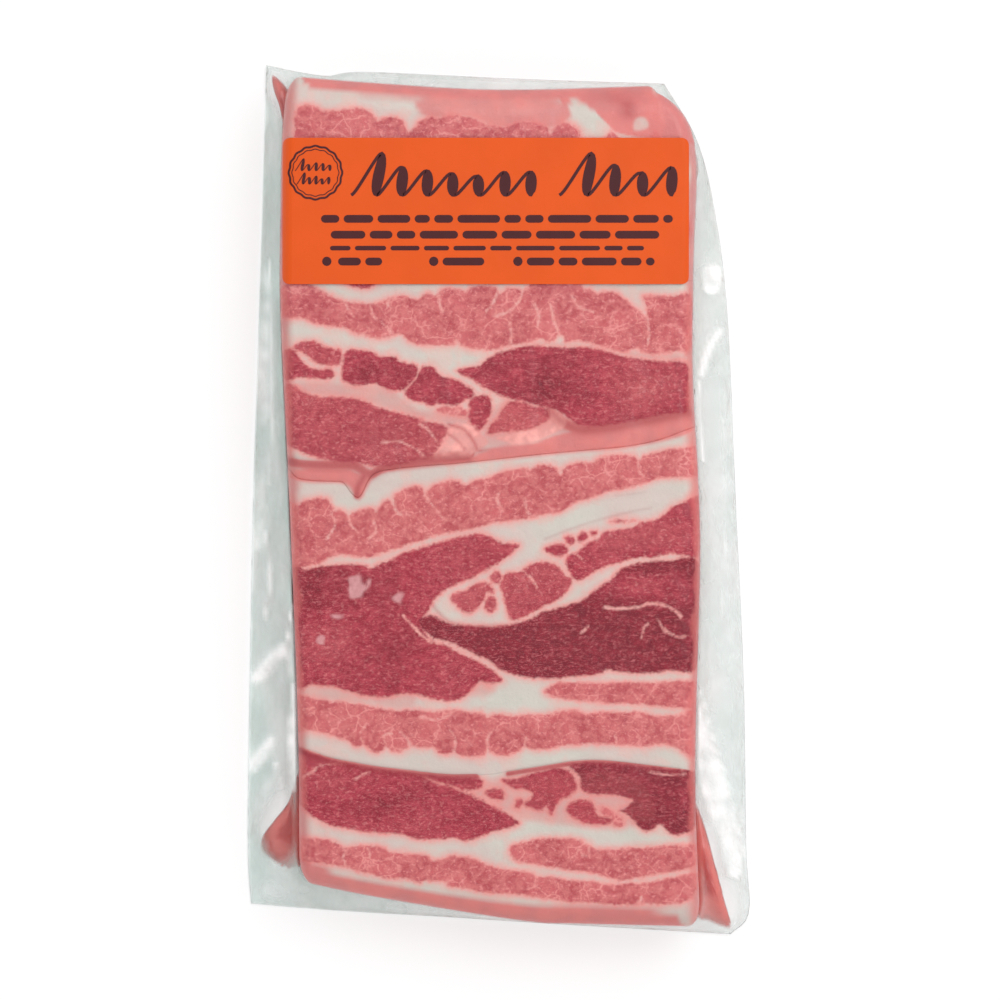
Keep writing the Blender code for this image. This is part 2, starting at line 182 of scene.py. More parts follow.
MUSCLES_3 = (
    (LIGHT, (
        (-53, -0.8), (-50, -1.4), (-48, -0.2), (-46, 0.1), (-44.5, 0.6), (-42.4, 0.2), (-41.4, -1.2),
        (-40.6, -2.7), (-39, -2.4), (-37.8, -3.4), (-37.2, -4.3), (-36.6, -3.3), (-34.6, -2.5), (-31.6, -2),
        (-30.5, -3.2), (-29.6, -1.8), (-27.6, -0.1), (-26.1, -1.3), (-25.6, 1.2), (-23, 2.8), (-20.6, 3.3),
        (-18.9, 2.5), (-18.5, 0.8), (-17.6, 2.5), (-15.4, 3.9), (-12.8, 4.7), (-10.5, 4.6), (-8.5, 3.6),
        (-6.5, 4.6), (-3.5, 5.4), (-2.5, 5.6), (2, 7.3), (6, 7.7), (7.4, 7.3), (9, 8.4), (11.5, 8.6),
        (14, 8), (15, 6.2), (16, 8), (19.5, 9.2), (22.5, 9.2), (24.8, 10.4), (28, 11.2), (31, 11.2),
        (33.4, 10.6), (34.1, 9.1), (35.2, 10.7), (39, 11.8), (44, 12.7), (48.6, 12.8), (49.5, 9), (49, 6),
        (45, 5.6), (40, 5.5), (36.5, 4.6), (31, 3), (26.5, 2.1), (22, 0.4), (18.8, -0.4), (15.5, -2.6),
        (11, -3.6), (5, -4.8), (-1, -5.4), (-5, -6.5), (-12, -8), (-17, -9), (-20, -10.1), (-26, -12.1),
        (-31, -13.6), (-34, -14), (-37, -13.6), (-39.2, -13.3), (-42, -14.2), (-45, -15.7), (-48, -16.5),
        (-52, -16.4))),
    (DARK, (
        (-51.6, -17.2), (-48, -17), (-44, -16.4), (-38, -15.8), (-33.6, -16), (-31.6, -16.7),
        (-29.5, -15.6), (-26.5, -14.6), (-23.6, -12.9), (-18, -11.3), (-13, -9.8), (-8, -8.7), (-4.5, -8.3),
        (-2.2, -9), (0, -10.4), (3, -10.7), (4.7, -11.4), (2.5, -13.3), (-1.5, -16.1), (-5.5, -18.4),
        (-9.5, -20.3), (-13, -21.8), (-15.6, -23.9), (-17.1, -26.2), (-18.2, -28.2), (-19.5, -29.5),
        (-18.6, -32.4), (-16.5, -34.6), (-12, -36.2), (-8, -38.5), (-4, -40.6), (-1, -42.6), (0.6, -44.4),
        (-2.4, -45.2), (-5, -44.5), (-6.6, -46.2), (-9, -48.5), (-11.5, -49.4), (-15, -49.2), (-19, -48.3),
        (-23.5, -47.5), (-28, -48.4), (-33, -48.2), (-37.5, -47), (-41, -45.8), (-46, -45.4),
        (-51, -44.6))),
    (MEDIUM, (
        (-12.1, -24.1), (-11, -22.8), (-8.5, -22.4), (-6.8, -21), (-5, -20.3), (-3, -20.5), (-1.8, -21.6),
        (-1.4, -22.9), (-3.2, -22.7), (-3.9, -24.6), (-5.5, -26.5), (-7.6, -27.9), (-9.2, -27.3),
        (-10.8, -25.9))),
    (MEDIUM, (
        (-3.2, -24.3), (-2, -23.7), (-1, -24.8), (-0.9, -26.5), (-2.1, -27.8), (-3.4, -27.2),
        (-3.8, -25.8))),
    (MEDIUM, ((-2.4, -18.8), (-1, -17.5), (0.3, -18.3), (0.2, -20), (-0.8, -20.8), (-2.2, -20.1))),
    (MEDIUM, (
        (-0.1, -20.6), (1.4, -18.1), (3.4, -17.8), (5.6, -17.1), (7.4, -16), (10.6, -15.2), (13.5, -15.7),
        (15.3, -17.1), (16, -18.5), (17.6, -19.2), (17.6, -20.8), (16.2, -22.8), (14, -24.6), (11.5, -25.9),
        (8, -27.7), (5, -29), (2.7, -29.4), (1.7, -27.4), (1, -24.5), (0.4, -22.4))),
    (DARK, (
        (11, -12.3), (12.6, -11.3), (14.6, -10.6), (16.2, -11.2), (17, -12.6), (15.6, -13.6),
        (13.6, -13.8))),
    (DARK, ((16, -9.3), (17.4, -8.8), (18.6, -9.6), (18.2, -10.8), (16.8, -11))),
    (DARK, ((19, -9.3), (20.3, -7.8), (21.6, -8.3), (21.2, -9.6), (19.4, -10.4))),
    (DARK, ((22, -7.9), (23.4, -7.5), (24, -8.2), (22.6, -8.8))),
    (DARK, ((27, -5.2), (29, -4.9), (31.5, -4.8), (33.4, -5.1), (31, -5.5), (28.4, -5.6))),
    (DARK, (
        (17.2, -13.2), (19, -12.9), (20.4, -11.4), (22.2, -10.2), (24.5, -9.4), (25.6, -8), (28, -7.4),
        (32.5, -6.8), (35, -5.5), (39, -4.6), (41, -3.1), (43.5, -1.3), (49.5, 0.8), (49.8, -6),
        (49.4, -13.6), (45, -13.5), (42, -13.2), (38, -14), (34, -14.2), (30, -15.3), (26.5, -16.2),
        (23.5, -17.6), (21, -19.2), (18.8, -19.7), (17.2, -18.2), (16.2, -16), (16.4, -14.4))),
    (DARKEST, (
        (-20.6, -29.4), (-18.6, -28.6), (-16.4, -28.4), (-14.2, -29.7), (-12, -30.6), (-9.5, -30.8),
        (-4, -31.1), (1, -30.9), (5, -30), (8, -29), (10.5, -27.5), (13.5, -26.7), (17, -25.8), (19.5, -25),
        (22, -23.2), (25, -21), (27.5, -19.5), (28.8, -17.7), (31, -16.3), (35, -15.4), (41, -14.9),
        (49, -15.2), (49, -30), (48.6, -41.6), (42, -41.9), (38, -42.6), (33, -42.6), (28.6, -42.2),
        (26.6, -41.6), (24.4, -42.7), (19, -43.3), (13, -44), (8, -43.8), (4, -43), (0, -41.6),
        (-2.5, -39.6), (-6, -38), (-9.5, -36.2), (-13, -34.8), (-16.2, -34), (-18, -32.6), (-19.6, -31))),
    (LIGHT, (
        (11.1, -47.1), (12.8, -45.6), (15, -45), (22, -45), (30, -44.9), (38, -44.9), (49, -45),
        (49, -50.9), (42, -50.9), (34, -50.3), (27, -50), (20, -49.4), (15, -48.8), (12.6, -48.2))),
    (LIGHT, (
        (-51, -48.7), (-45, -49), (-41, -49.6), (-37, -50), (-33, -50.7), (-28, -51.5), (-25, -52),
        (-20, -51.6), (-16, -52.2), (-11.5, -51.6), (-8, -52.2), (-4.6, -52.5), (-3, -53.4), (-1, -52.7),
        (3, -53.2), (7, -52.7), (10, -53), (14, -52.2), (17, -51.6), (19.4, -51.8), (21, -52.6),
        (25, -52.2), (30, -52.4), (34, -52), (37, -52.8), (40, -53.3), (44, -52.8), (49, -52), (49, -62.8),
        (45.4, -62.2), (43.5, -60.9), (40.5, -60.1), (37.8, -60.1), (35, -60.7), (31, -60.3), (25, -60),
        (17, -60.2), (12, -61.2), (8, -61.2), (6, -60.6), (4.6, -61.9), (1, -62.8), (-2, -62.2),
        (-3.1, -61.1), (-4, -62.8), (-7, -63.2), (-10.4, -62.5), (-11.2, -61.1), (-12.4, -62.3),
        (-15, -62.3), (-16.5, -60.7), (-19, -61), (-21.6, -60.7), (-24.4, -62), (-27, -61.6), (-28, -60.4),
        (-29, -61.7), (-31.4, -61.9), (-33.3, -60.2), (-35.5, -60.6), (-37.8, -59), (-40.5, -58.2),
        (-44, -57.3), (-48, -56.8), (-51, -56.8))),
)
MUSCLES_4 = (
    (DARK, (
        (-51.2, -62), (-46, -62.5), (-41, -64.1), (-36, -65.1), (-30, -66.3), (-24, -66.9), (-17, -67.9),
        (-10, -68.3), (-5, -68.4), (-4, -69.8), (-5.4, -71.2), (-8.8, -71.4), (-6, -72.8), (-3, -74.2),
        (0, -75.9), (2.6, -77.6), (4.9, -79.4), (2.6, -80.5), (-1, -81.3), (-5, -82.9), (-8.5, -83.9),
        (-11, -83.1), (-15, -83.5), (-20, -83.5), (-24.5, -82.1), (-30, -82), (-36, -81.2), (-41, -80.3),
        (-45, -78.7), (-47.8, -76.4), (-51.2, -73))),
    (DARK, (
        (0.6, -69), (3.5, -68.6), (7, -67.6), (10, -66.7), (13, -66.2), (15.6, -66), (17.4, -67.2),
        (18.6, -69), (18.9, -71), (17.4, -72.7), (15.2, -73.6), (13.8, -75.2), (12.8, -77.5), (11.9, -76.6),
        (11.4, -75.2), (10.2, -76.3), (8, -76), (5.9, -75), (7, -73.9), (8.1, -72.2), (6.4, -71.2),
        (3.5, -71))),
    (DARKEST, (
        (19.6, -68.4), (18.2, -66.4), (17, -65.4), (20.5, -64.6), (26, -64.6), (31, -65), (36, -65.7),
        (42, -66.2), (49, -67.6), (49, -75), (48.4, -80.4), (46, -81.8), (43.5, -82.4), (41.4, -81.7),
        (40, -80.2), (38.8, -80), (37.9, -80.9), (36, -81.4), (34.3, -80.5), (33, -79), (31.2, -77.4),
        (29.5, -76.3), (31.5, -75.2), (32.8, -74), (31, -73.2), (28, -72.4), (24, -72.4), (21.4, -72),
        (20, -71))),
    (DARK, (
        (-3.8, -71.9), (-2, -71.2), (0.4, -71.2), (1.2, -72.4), (0.8, -73.6), (-1, -73.8), (-2.8, -73))),
    (MEDIUM, ((4, -74), (5.2, -73.6), (5.6, -74.6), (4.6, -76), (3.4, -75.6))),
    (DARK, (
        (16.3, -76.4), (17.2, -74.7), (19, -73.8), (21.5, -73.8), (22.9, -74.7), (23.6, -76.4),
        (24.4, -77.8), (26.8, -78.2), (27.4, -79.4), (25, -80), (22, -79.8), (19.5, -78.8), (17.5, -77.9))),
    (LIGHT, (
        (24.6, -75.6), (26.6, -75.8), (28.6, -77), (30.4, -78.8), (30, -80.2), (27.9, -80), (27.6, -78.2),
        (25.4, -77.3))),
    (LIGHT, (
        (-51, -83.8), (-46, -83.3), (-42.5, -83.7), (-40, -84.6), (-38, -85.7), (-35.5, -85.2),
        (-31, -85.2), (-28.4, -85.7), (-26.8, -86.9), (-24, -86.7), (-20, -87.3), (-17.8, -87.7),
        (-16.4, -88.6), (-14, -88.2), (-12.4, -87.6), (-9, -87.8), (-6, -88.5), (-3.5, -89.7), (1, -90.9),
        (7, -91.6), (9.6, -92.7), (13, -92.8), (17, -93.7), (23, -93.9), (27, -94.8), (31, -94.4),
        (36, -94.3), (40, -93.4), (43.5, -92.6), (49, -92), (48.8, -95), (47.4, -97.5), (45, -98.9),
        (41, -99.5), (36, -99.4), (30, -99.6), (24, -99.2), (17, -98.9), (11, -98), (4, -97.1), (-2, -96.8),
        (-5.5, -96.3), (-9, -95.3), (-12.3, -95.2), (-13.6, -94.1), (-16, -93.8), (-18.6, -93.6),
        (-19.6, -94.1), (-23, -93.2), (-27, -93.2), (-31, -92.3), (-35, -91.3), (-38, -90.2), (-42, -89.8),
        (-46, -89.3), (-51, -88.6))),
    (LIGHT, (
        (2.3, -85.9), (3.2, -84.8), (6, -84.2), (9, -83.5), (14, -83.3), (18.6, -83.4), (20.6, -84.3),
        (22.6, -85.4), (24, -86.1), (29, -86), (32, -85.6), (38, -85.4), (42, -85), (49.4, -85.2),
        (49.4, -89.8), (44, -91), (38, -92.2), (33, -93), (30, -93.5), (27, -93), (23, -91.7), (18, -91.2),
        (13, -90.3), (8, -89.6), (4.6, -89), (2.9, -87.8))),
)

# Thin pale sinews across the lean: width, then the line they follow.
SINEWS = (
    (0.5, ((-38.4, 49.2), (-37.4, 47), (-36, 45.2))),
    (0.6, ((-31.9, 48.2), (-31.4, 46), (-30.6, 44.6))),
    (0.6, ((-27.4, 49.6), (-27.6, 47.6))),
    (0.7, ((-15.1, 50.6), (-14.8, 48), (-14.2, 46.6))),
    (0.6, ((-29.5, 44), (-27, 41.6), (-25.4, 40.2))),
    (0.6, ((-0.6, 51.5), (-1.6, 48.6), (-3.4, 46.4))),
    (0.6, ((5.8, 51.5), (4, 48), (0.4, 45.6), (-1.4, 45.4))),
    (0.5, ((12.4, 48), (13.4, 44), (14.6, 41))),
    (0.5, ((17.6, 50.4), (19.4, 47.6), (23, 46.2))),
    (0.6, ((2.4, 43.6), (2.8, 41), (2.6, 38.6))),
    (0.5, ((8.4, 48.4), (9.6, 45.6), (9.2, 42.6))),
    (0.5, ((36.2, 45.4), (36.6, 41), (36.4, 38))),
    (0.4, ((-43.4, 29.2), (-40.6, 30.8), (-39.2, 33.4), (-38.7, 37))),
    (0.4, ((-24.6, 22.4), (-20.2, 21.2), (-18, 19.2))),
    (0.7, ((-29, 14.2), (-25, 14.4), (-21.6, 13), (-19.2, 11.2), (-17.4, 10))),
    (0.4, ((-19.6, 18.6), (-17, 16.6), (-15.6, 14.4))),
    (0.6, ((-37.1, -4.2), (-36.6, -6.2), (-35.2, -7.8))),
    (0.5, ((-26.2, -1), (-25.4, -3), (-24.6, -3.6), (-22.2, -3.6))),
    (0.5, ((-18.4, 1), (-17, -0.8), (-14.6, -3.6), (-13.2, -5))),
    (0.4, ((-42.6, -9.6), (-40.6, -6), (-41.6, -3))),
    (0.5, ((-32.4, -9.6), (-30.6, -8), (-31, -5.4))),
    (0.5, ((6.2, 0.2), (6.6, -2.4), (8, -4.6))),
    (0.4, ((0.2, 2.2), (-0.8, 0.4), (0.6, -2.6))),
    (0.5, ((34, 9.6), (34.2, 7.4), (35.4, 6))),
    (0.7, ((-23.9, -28.4), (-21.6, -30.8), (-19.3, -33.2), (-17.2, -34.9))),
    (0.9, ((-17.6, -34.3), (-13, -35.6), (-9.5, -37.6), (-5, -39.4), (-1.4, -41.6), (1, -44))),
    (0.8, (
        (25.6, -26.4), (29, -26.7), (33.4, -26.4), (36.4, -25.6), (39, -25.6), (42, -26.6), (44.6, -28.6))),
    (0.5, ((38.8, -29.6), (40.6, -32), (43.8, -33.6), (46.4, -33.4))),
    (0.4, ((20, -32.8), (21.6, -31.2))),
    (0.4, ((34.8, -34), (35.4, -31.6), (36.4, -30.4))),
    (0.4, ((11, -13.4), (13.6, -15.2), (16.4, -18.6))),
    (0.4, ((16.8, -11.2), (18.6, -13.2), (20.2, -14.6))),
    (0.4, ((5.6, -17.4), (7.6, -19.2), (9.2, -21.4))),
    (0.5, ((-48.6, -68.4), (-46.4, -67), (-44.4, -65.4), (-41.4, -64.8), (-39, -65))),
    (0.4, ((-35.6, -68.8), (-33.6, -67.4), (-32, -66.9))),
    (0.5, (
        (-18.4, -68), (-15.6, -69.5), (-12, -70.4), (-9.4, -71.6), (-6, -73), (-2.6, -74.6), (1, -76.6))),
    (0.5, ((5, -67.6), (9, -66.5), (15, -65.6))),
    (0.5, ((37, -66.9), (41, -67.6), (46, -67.4))),
    (0.5, ((-37.6, -86), (-38.6, -88), (-38, -90))),
    (0.5, ((-32.6, -85.4), (-32, -87.6))),
    (0.4, ((-24.4, -57), (-22.4, -59.4), (-21.8, -61))),
    (0.4, ((-33.4, -60.4), (-34.4, -57.6), (-33, -55.4))),
    (0.4, ((-28, -60.6), (-28.6, -58), (-26.6, -57.4))),
    (0.4, ((-11.2, -61.4), (-11, -58.6), (-12.4, -56.6))),
    (0.4, ((-3.1, -61.4), (-3, -58.6), (-1.6, -56.4))),
    (0.4, ((6, -60.8), (6.4, -58.4))),
    (0.4, ((28.6, -60.2), (28.4, -58))),
    (0.4, ((-20, -53.4), (-16.4, -54), (-13, -53.2), (-11.6, -52))),
    (0.5, ((34.8, -97.6), (35.4, -99.4))),
    (0.4, ((21.8, -85.6), (22, -87.2), (20, -87.6))),
)

# Patches of rosy fat or rind: strength, softness of the edge in millimetres, and outline.
ROSY_PATCHES = (
    (0.95, 0.28, (
        (-49, 104.5), (-46.5, 101.7), (-42, 101), (-38, 100.3), (-34, 99.7), (-28, 99.3), (-20, 98.7),
        (-10, 98.2), (0, 97.8), (5, 98), (10, 98.8), (14, 98.4), (17, 97), (22, 96.4), (26, 93), (30, 90),
        (44, 88), (50, 88), (46, 98), (40, 106), (0, 106), (-30, 108), (-48, 109))),
    (0.95, 0.28, (
        (-51, -88.7), (-45, -90.2), (-40, -92), (-36, -93.2), (-31, -94.6), (-25, -95.2), (-20, -95.8),
        (-12, -96.8), (-4, -98), (3, -98.8), (10, -100), (20, -100.5), (30, -100.5), (40, -101.5),
        (46, -102), (50, -104), (50, -108), (0, -108), (-51, -100))),
    (0.95, 0.7, (
        (-54, 6), (-50, 7.6), (-44, 8.4), (-38, 8), (-34, 6.6), (-30, 7.6), (-24, 8.8), (-18, 9.8),
        (-12, 10.4), (-8, 10.6), (0, 13.6), (8, 14.2), (14, 16.2), (20, 17.4), (28, 18), (34, 18.8),
        (42, 20.6), (49, 22), (49, 17.4), (40, 14.4), (30, 12.6), (18, 11.6), (6, 10.4), (-6, 9.2),
        (-18, 8), (-30, 6.2), (-34.6, 0), (-38, 3.8), (-46, 4.2), (-54, 5))),
    (0.4, 0.6, (
        (-17.2, 10.2), (-15.6, 13.6), (-13, 16.6), (-11.6, 18.6), (-7.6, 18.4), (-4, 16.2), (-2.4, 14),
        (-5, 11.6), (-9, 10.4))),
    (0.85, 0.9, (
        (-20, 99), (-19.4, 95), (-14, 94), (-8, 94.4), (0, 91.6), (6, 92.8), (12, 91.6), (16, 93), (18, 97),
        (8, 99.4), (-8, 99.2))),
    (0.5, 0.9, (
        (-54, 28.4), (-44, 29), (-38, 28.4), (-28, 27.4), (-20, 22.4), (-14, 22), (-8, 20.4), (-6, 18),
        (-12, 18.6), (-20, 20.4), (-30, 23.4), (-40, 25.6), (-54, 26.4))),
    (0.5, 1.0, (
        (4, 24.6), (10, 22.6), (14, 20.4), (20, 17.6), (14, 14.6), (4, 13.4), (-3, 13), (-4, 17), (0, 24))),
    (0.45, 0.9, (
        (10, 38.6), (24, 37.8), (36, 36), (50, 35.6), (50, 33.8), (36, 34.8), (24, 37.2), (10, 38.2))),
    (0.4, 0.9, (
        (-51, -44.4), (-40, -44.8), (-30, -47.8), (-22, -47), (-22, -50.8), (-34, -49.8), (-51, -47.8))),
    (0.5, 1.2, (
        (-26, -67.6), (-12, -69.2), (0, -68.4), (10, -67.2), (26, -66), (34, -68), (38, -73), (38, -79),
        (26, -80.6), (12, -79.6), (4, -78), (-6, -73.6), (-18, -70.2))),
    (0.45, 1.2, ((-7.6, -44.8), (-4, -44.4), (-1, -45.6), (-2.2, -47.8), (-5.4, -48.4), (-7.4, -47))),
    (0.55, 0.8, ((-55, 30), (-51, 30), (-50, 34), (-51, 38), (-55, 38))),
)

# Patches of clean pale fat inside rosy ground.
PALE_PATCHES = (
    (0.9, 0.5, ((17, 96), (17.6, 98.4), (20, 98), (23.6, 95), (25, 92), (22.6, 91), (19.6, 92.8))),
    (0.7, 0.5, ((33, 91), (33.4, 93.8), (35.8, 94), (36.4, 91.6))),
    (0.6, 0.5, ((37.6, 100.2), (38, 101.8), (39.8, 101.6), (39.6, 100.2))),
    (0.9, 0.6, ((43.6, -98), (46, -97), (50.4, -97), (50.4, -106), (44.6, -104.6))),
    (0.8, 0.4, ((-14.8, 12.4), (-14, 15.4), (-12.2, 16), (-11, 13.4), (-12.6, 12))),
)

# Dark red stains: strength, then centre x, y and the two radii.
STAINS = (
    (0.5, 31.6, 96.4, 2.6, 3.2),
    (0.3, 29, 99, 6.5, 1.8),
    (0.8, 22.4, -42.4, 1.1, 0.7),
    (0.5, -5.2, 12.4, 2.4, 0.7),
    (0.4, -28, 15.6, 9, 2.2),
)

# Pale fat dots inside the dark lean: centre x, y and the two radii.
FAT_DOTS = (
    (-35.2, -21.6, 2.0, 2.9), (-25.1, -23.9, 1.3, 1.4), (-40.1, -28.6, 1.2, 0.7), (-43.9, -34.2, 1.0, 1.1),
    (-32.3, -20.2, 0.5, 0.5), (-32, -28, 0.6, 0.4), (9.6, -44.6, 0.9, 0.5), (29, -74.8, 2.3, 1.2),
    (-50.6, 99.4, 0.6, 1))

# Dark red lines: painted shade in the creases under the strips' folds and edges, and stains along other
# lines: strength, width, then the line they follow.
STAIN_AND_SHADE_LINES = (
    (0.6, 1.3, (
        (-52, 9.4), (-48, 8.8), (-42, 8.6), (-36, 8.4), (-32, 6.4), (-29, 7.7), (-24, 8.8), (-18, 9.9),
        (-12, 10.4), (-8, 10.6))),
    (0.5, 0.9, ((-33.6, 5.4), (-34.9, 3.4), (-35.3, 0.9))),
    (0.55, 1.6, ((12.6, 21.4), (16, 18.8), (20, 17.4), (26, 17.8), (32, 18.8), (38, 20), (46, 21.6))),
    (0.45, 0.5, ((-12.6, 18.6), (-9, 17.4), (-6.6, 14.6), (-5.6, 12.4))),
    (0.5, 0.45, ((-16.8, 10.4), (-14.4, 11.6), (-10, 11.4), (-6.6, 11.2))),
    (0.4, 0.4, ((-13, 16.4), (-10.4, 14.6), (-8.6, 12.4))),
    (0.2, 0.35, ((11, -9.6), (20, -6.2), (30, -3.4), (37, -2))),
    (0.12, 0.35, ((28, 1), (32, 1.4), (36, 2))),
    (0.3, 0.5, ((-17, -25.4), (-13, -29.6), (-8, -31), (2, -30.9))),
    (0.75, 0.9, ((-51, -61.2), (-42, -64.2), (-30, -66.4), (-14, -68.2), (-6, -68.2))),
    (0.6, 0.7, ((2, -67.4), (10, -66.1), (19, -64.8), (28, -64.8), (44, -66.8))),
)

# Folds of creamy fat: strength and outline.
CREAM_PATCHES = (
    (1.0, (
        (-12, 18.5), (-10, 19), (-7, 18), (-4, 15.8), (-3, 14), (-5, 12.5), (-8, 10.6), (-12, 10.4),
        (-16.4, 10.4), (-15, 13), (-13.4, 15.6))),
    (0.9, (
        (12.2, 22.6), (15.6, 20.4), (16.2, 18.4), (14, 16.8), (8, 14.2), (5, 13.3), (1.6, 14.2), (-1, 15.2),
        (3.4, 16.2), (9, 17.6), (12.4, 19.6))),
    (0.7, ((17.6, -15.6), (20, -12.6), (18.4, -14.6), (17, -17))),
    (0.7, ((-24, -28.4), (-22, -28.8), (-18, -33), (-17, -35), (-19.6, -34.4), (-23, -31))),
)

# Places where the lean is lighter or darker than the rest of its muscle: change, centre x, y and the two
# radii.
TONE_SPOTS = (
    (-0.6, 36, -21, 11, 4), (-0.25, 36, -9, 11, 4), (-0.2, -40, -36, 10, 7), (0.25, 8, -37, 14, 4),
    (0.2, 10, 27, 9, 5), (-0.25, 36, 27, 8, 5), (0.25, -33, 32, 5, 3), (0.3, -30, -74, 12, 5),
    (-0.2, -42, -70, 6, 4), (0.2, -30, -20, 9, 5), (0.25, -46, -22, 5, 6), (0.35, -46, 49, 6, 3),
    (0.25, -30, 46, 6, 3), (0.3, -44, -8, 5, 4))

# Creases in the film margin, raised as low ridges with a painted highlight along each: brightness of the
# painted highlight (which also sets the ridge's height), width, then the line they follow.
CREASES_WITH_HIGHLIGHTS = (
    (0.9, 0.5, ((-51.6, -26), (-52.6, -32), (-53.6, -38))),
    (0.8, 2.2, ((-61, -44.5), (-57.6, -40), (-54, -36.6))),
    (0.8, 2.0, ((-63, -67), (-60, -63.4), (-57.4, -60))),
    (0.9, 1.0, ((-51.3, -46), (-51.1, -58), (-51.4, -72))),
    (0.8, 0.5, ((-55.8, -66), (-54.9, -69), (-54.6, -72))),
    (0.7, 0.6, ((49.8, -47), (53, -59), (57, -71.5), (60.4, -86), (62, -93))),
    (0.6, 3.0, ((51.6, -58), (53, -68), (55, -78), (56.6, -86))),
    (0.5, 0.5, ((-57.6, 60), (-56.8, 30), (-57.4, 4))),
    (1.0, 1.7, ((54.8, 42), (53, 39.4), (51.3, 35.4), (50.2, 31.4))),
    (0.9, 0.8, ((50.2, 31.4), (49.4, 26.4), (49.8, 19), (50.6, 10))),
    (0.5, 0.5, ((55.6, 20), (56.2, -6), (55.2, -30))),
    (0.6, 0.5, ((-58.6, -8), (-57.4, -20), (-58.8, -30))),
)

# Patches of glare on the free film: strength, softness and outline.
GLARE_PATCHES = (
    (0.9, 0.6, (
        (49.2, -50), (51, -55), (54, -63.5), (57.4, -73), (60.2, -85), (60.6, -93), (57.4, -94),
        (54.4, -84), (51.4, -76), (49.4, -68))),
    (0.8, 1.2, ((-62, -44), (-60, -46), (-56, -41.6), (-53, -38), (-53.6, -35.6), (-57, -38.6))),
    (0.8, 1.0, ((-63, -66), (-61, -68), (-57, -62.6), (-56.6, -59.6), (-60, -61.6))),
    (0.6, 1.0, ((-51.9, -28), (-51.4, -40), (-51.6, -46), (-53.4, -40), (-53, -32))),
    (0.9, 0.5, ((-51.9, -46), (-50.8, -50), (-50.8, -64), (-51.6, -72), (-53, -71), (-52.6, -58))),
    (0.5, 1.5, ((-60, 20), (-57, 24), (-57, 50), (-59, 58), (-60, 40))),
    (1.0, 0.7, ((50.8, 58.2), (54.6, 58.6), (55.2, 54), (53.6, 51.4), (50.8, 52.6))),
    (0.4, 1.5, ((-61, -12), (-58, -6), (-58.6, 6), (-60.4, 4))),
    (0.5, 1.5, ((-60, -72), (-56.6, -70), (-57.6, -78), (-61, -80))),
)

# Swollen corners of the pouch where juice gathers: height, centre x, y, the two radii, and the turn in
# degrees.
EARS = (
    (4.2, -55.0, -81.5, 5.0, 10.5, 0),
    (4.0, 53.2, -92.0, 3.2, 15.0, 17),
    (3.2, -54.6, 100.0, 2.4, 7.5, 20),
)

# The film, in millimetres: its height beside the slab and at its rim, its gap over the meat and beside it,
# and its thickness.
ROOT_HEIGHT = 6.0
RIM_HEIGHT = 0.8
FILM_CLEARANCE = 0.32
WALL_CLEARANCE = 0.2
FILM_THICKNESS = 0.25

# Where the film is painted darker: painted shade beside the slab along its right side, and a darker
# patch at its near left corner: centre x, y and the two radii.
RIGHT_SHADE = (51.6, 56, 3.6, 30)
NEAR_LEFT_SHADE = (-44, -99, 16, 4)

# How much of a joint's groove the film follows.
FILM_DIP = 0.6

# The juice pools, in millimetres: their underside, their highest and lowest top, and their gap to the film.
POOL_BASE = 1.05
POOL_HEIGHT = 4.5
POOL_LOWEST = 1.4
POOL_GAP = 0.7

# The label, in millimetres: its sides, its lift over the slab, its thickness, its corners and its grid.
LABEL_LEFT, LABEL_RIGHT, LABEL_NEAR, LABEL_FAR = -53.6, 46.5, 53.1, 89.1
LABEL_LIFT = 0.85
LABEL_THICKNESS = 0.2
LABEL_CORNER = 1.8
LABEL_SPACING = 1.6


def colour(red, green, blue):
    """The linear colour of a shade written as 0 to 255."""
    shares = (red / 255, green / 255, blue / 255)
    return tuple(v / 12.92 if v <= 0.04045 else ((v + 0.055) / 1.055) ** 2.4 for v in shares) + (1.0,)


def smooth_curve(points, closed=False, steps=5):
    """Places along a smooth curve through the points."""
    p = np.array(points, float)
    if closed:
        p = np.vstack((p[-1:], p, p[:2]))
    else:
        p = np.vstack((2 * p[0] - p[1], p, 2 * p[-1] - p[-2]))
    t = (np.arange(steps) / steps)[:, None]
    parts = [
        b + (c - a) * t / 2 + (2 * a - 5 * b + 4 * c - d) * t ** 2 / 2 + (3 * b - 3 * c + d - a) * t ** 3 / 2
        for a, b, c, d in zip(p[:-3], p[1:-2], p[2:-1], p[3:])]
    return np.vstack(parts if closed else parts + [p[-2:-1]])


class Edge:
    """A side or joint of the slab that gives one coordinate at each place along the other."""

    def __init__(self, points):
        self.places, self.values = smooth_curve(points).T

    def __call__(self, place):
        return np.interp(place, self.places, self.values)


LEFT, RIGHT, NEAR, FAR = Edge(LEFT_EDGE), Edge(RIGHT_EDGE), Edge(NEAR_END), Edge(FAR_END)
JOINTS = (Edge(FIRST_JOINT), Edge(SECOND_JOINT), Edge(THIRD_JOINT))
SLAB_SIDES = (LEFT, RIGHT, NEAR, FAR)
FILM_SIDES = (Edge(FILM_LEFT), Edge(FILM_RIGHT), Edge(FILM_NEAR), Edge(FILM_FAR))


def step(low, high, value):
    """0 below low, 1 above high, and a smooth rise between them."""
    t = np.clip((value - low) / (high - low), 0, 1)
    return t * t * (3 - 2 * t)


def distance_to(line, x, y, closed=False):
    """How far each place is from a line, up to REACH, and whether a closed line goes round it."""
    ends = np.roll(line, -1, 0) if closed else line[1:]
    best = np.full(x.shape, REACH ** 2)
    inside = np.zeros(x.shape, bool)
    for (ax, ay), (bx, by) in zip(line, ends):
        ux, uy = bx - ax, by - ay
        along = np.clip(((x - ax) * ux + (y - ay) * uy) / max(ux * ux + uy * uy, 1e-9), 0, 1)
        best = np.minimum(best, (x - ax - along * ux) ** 2 + (y - ay - along * uy) ** 2)
        inside ^= ((ay > y) != (by > y)) & (x < ax + (y - ay) * ux / (uy if uy else 1e-9))
    return np.sqrt(best), inside


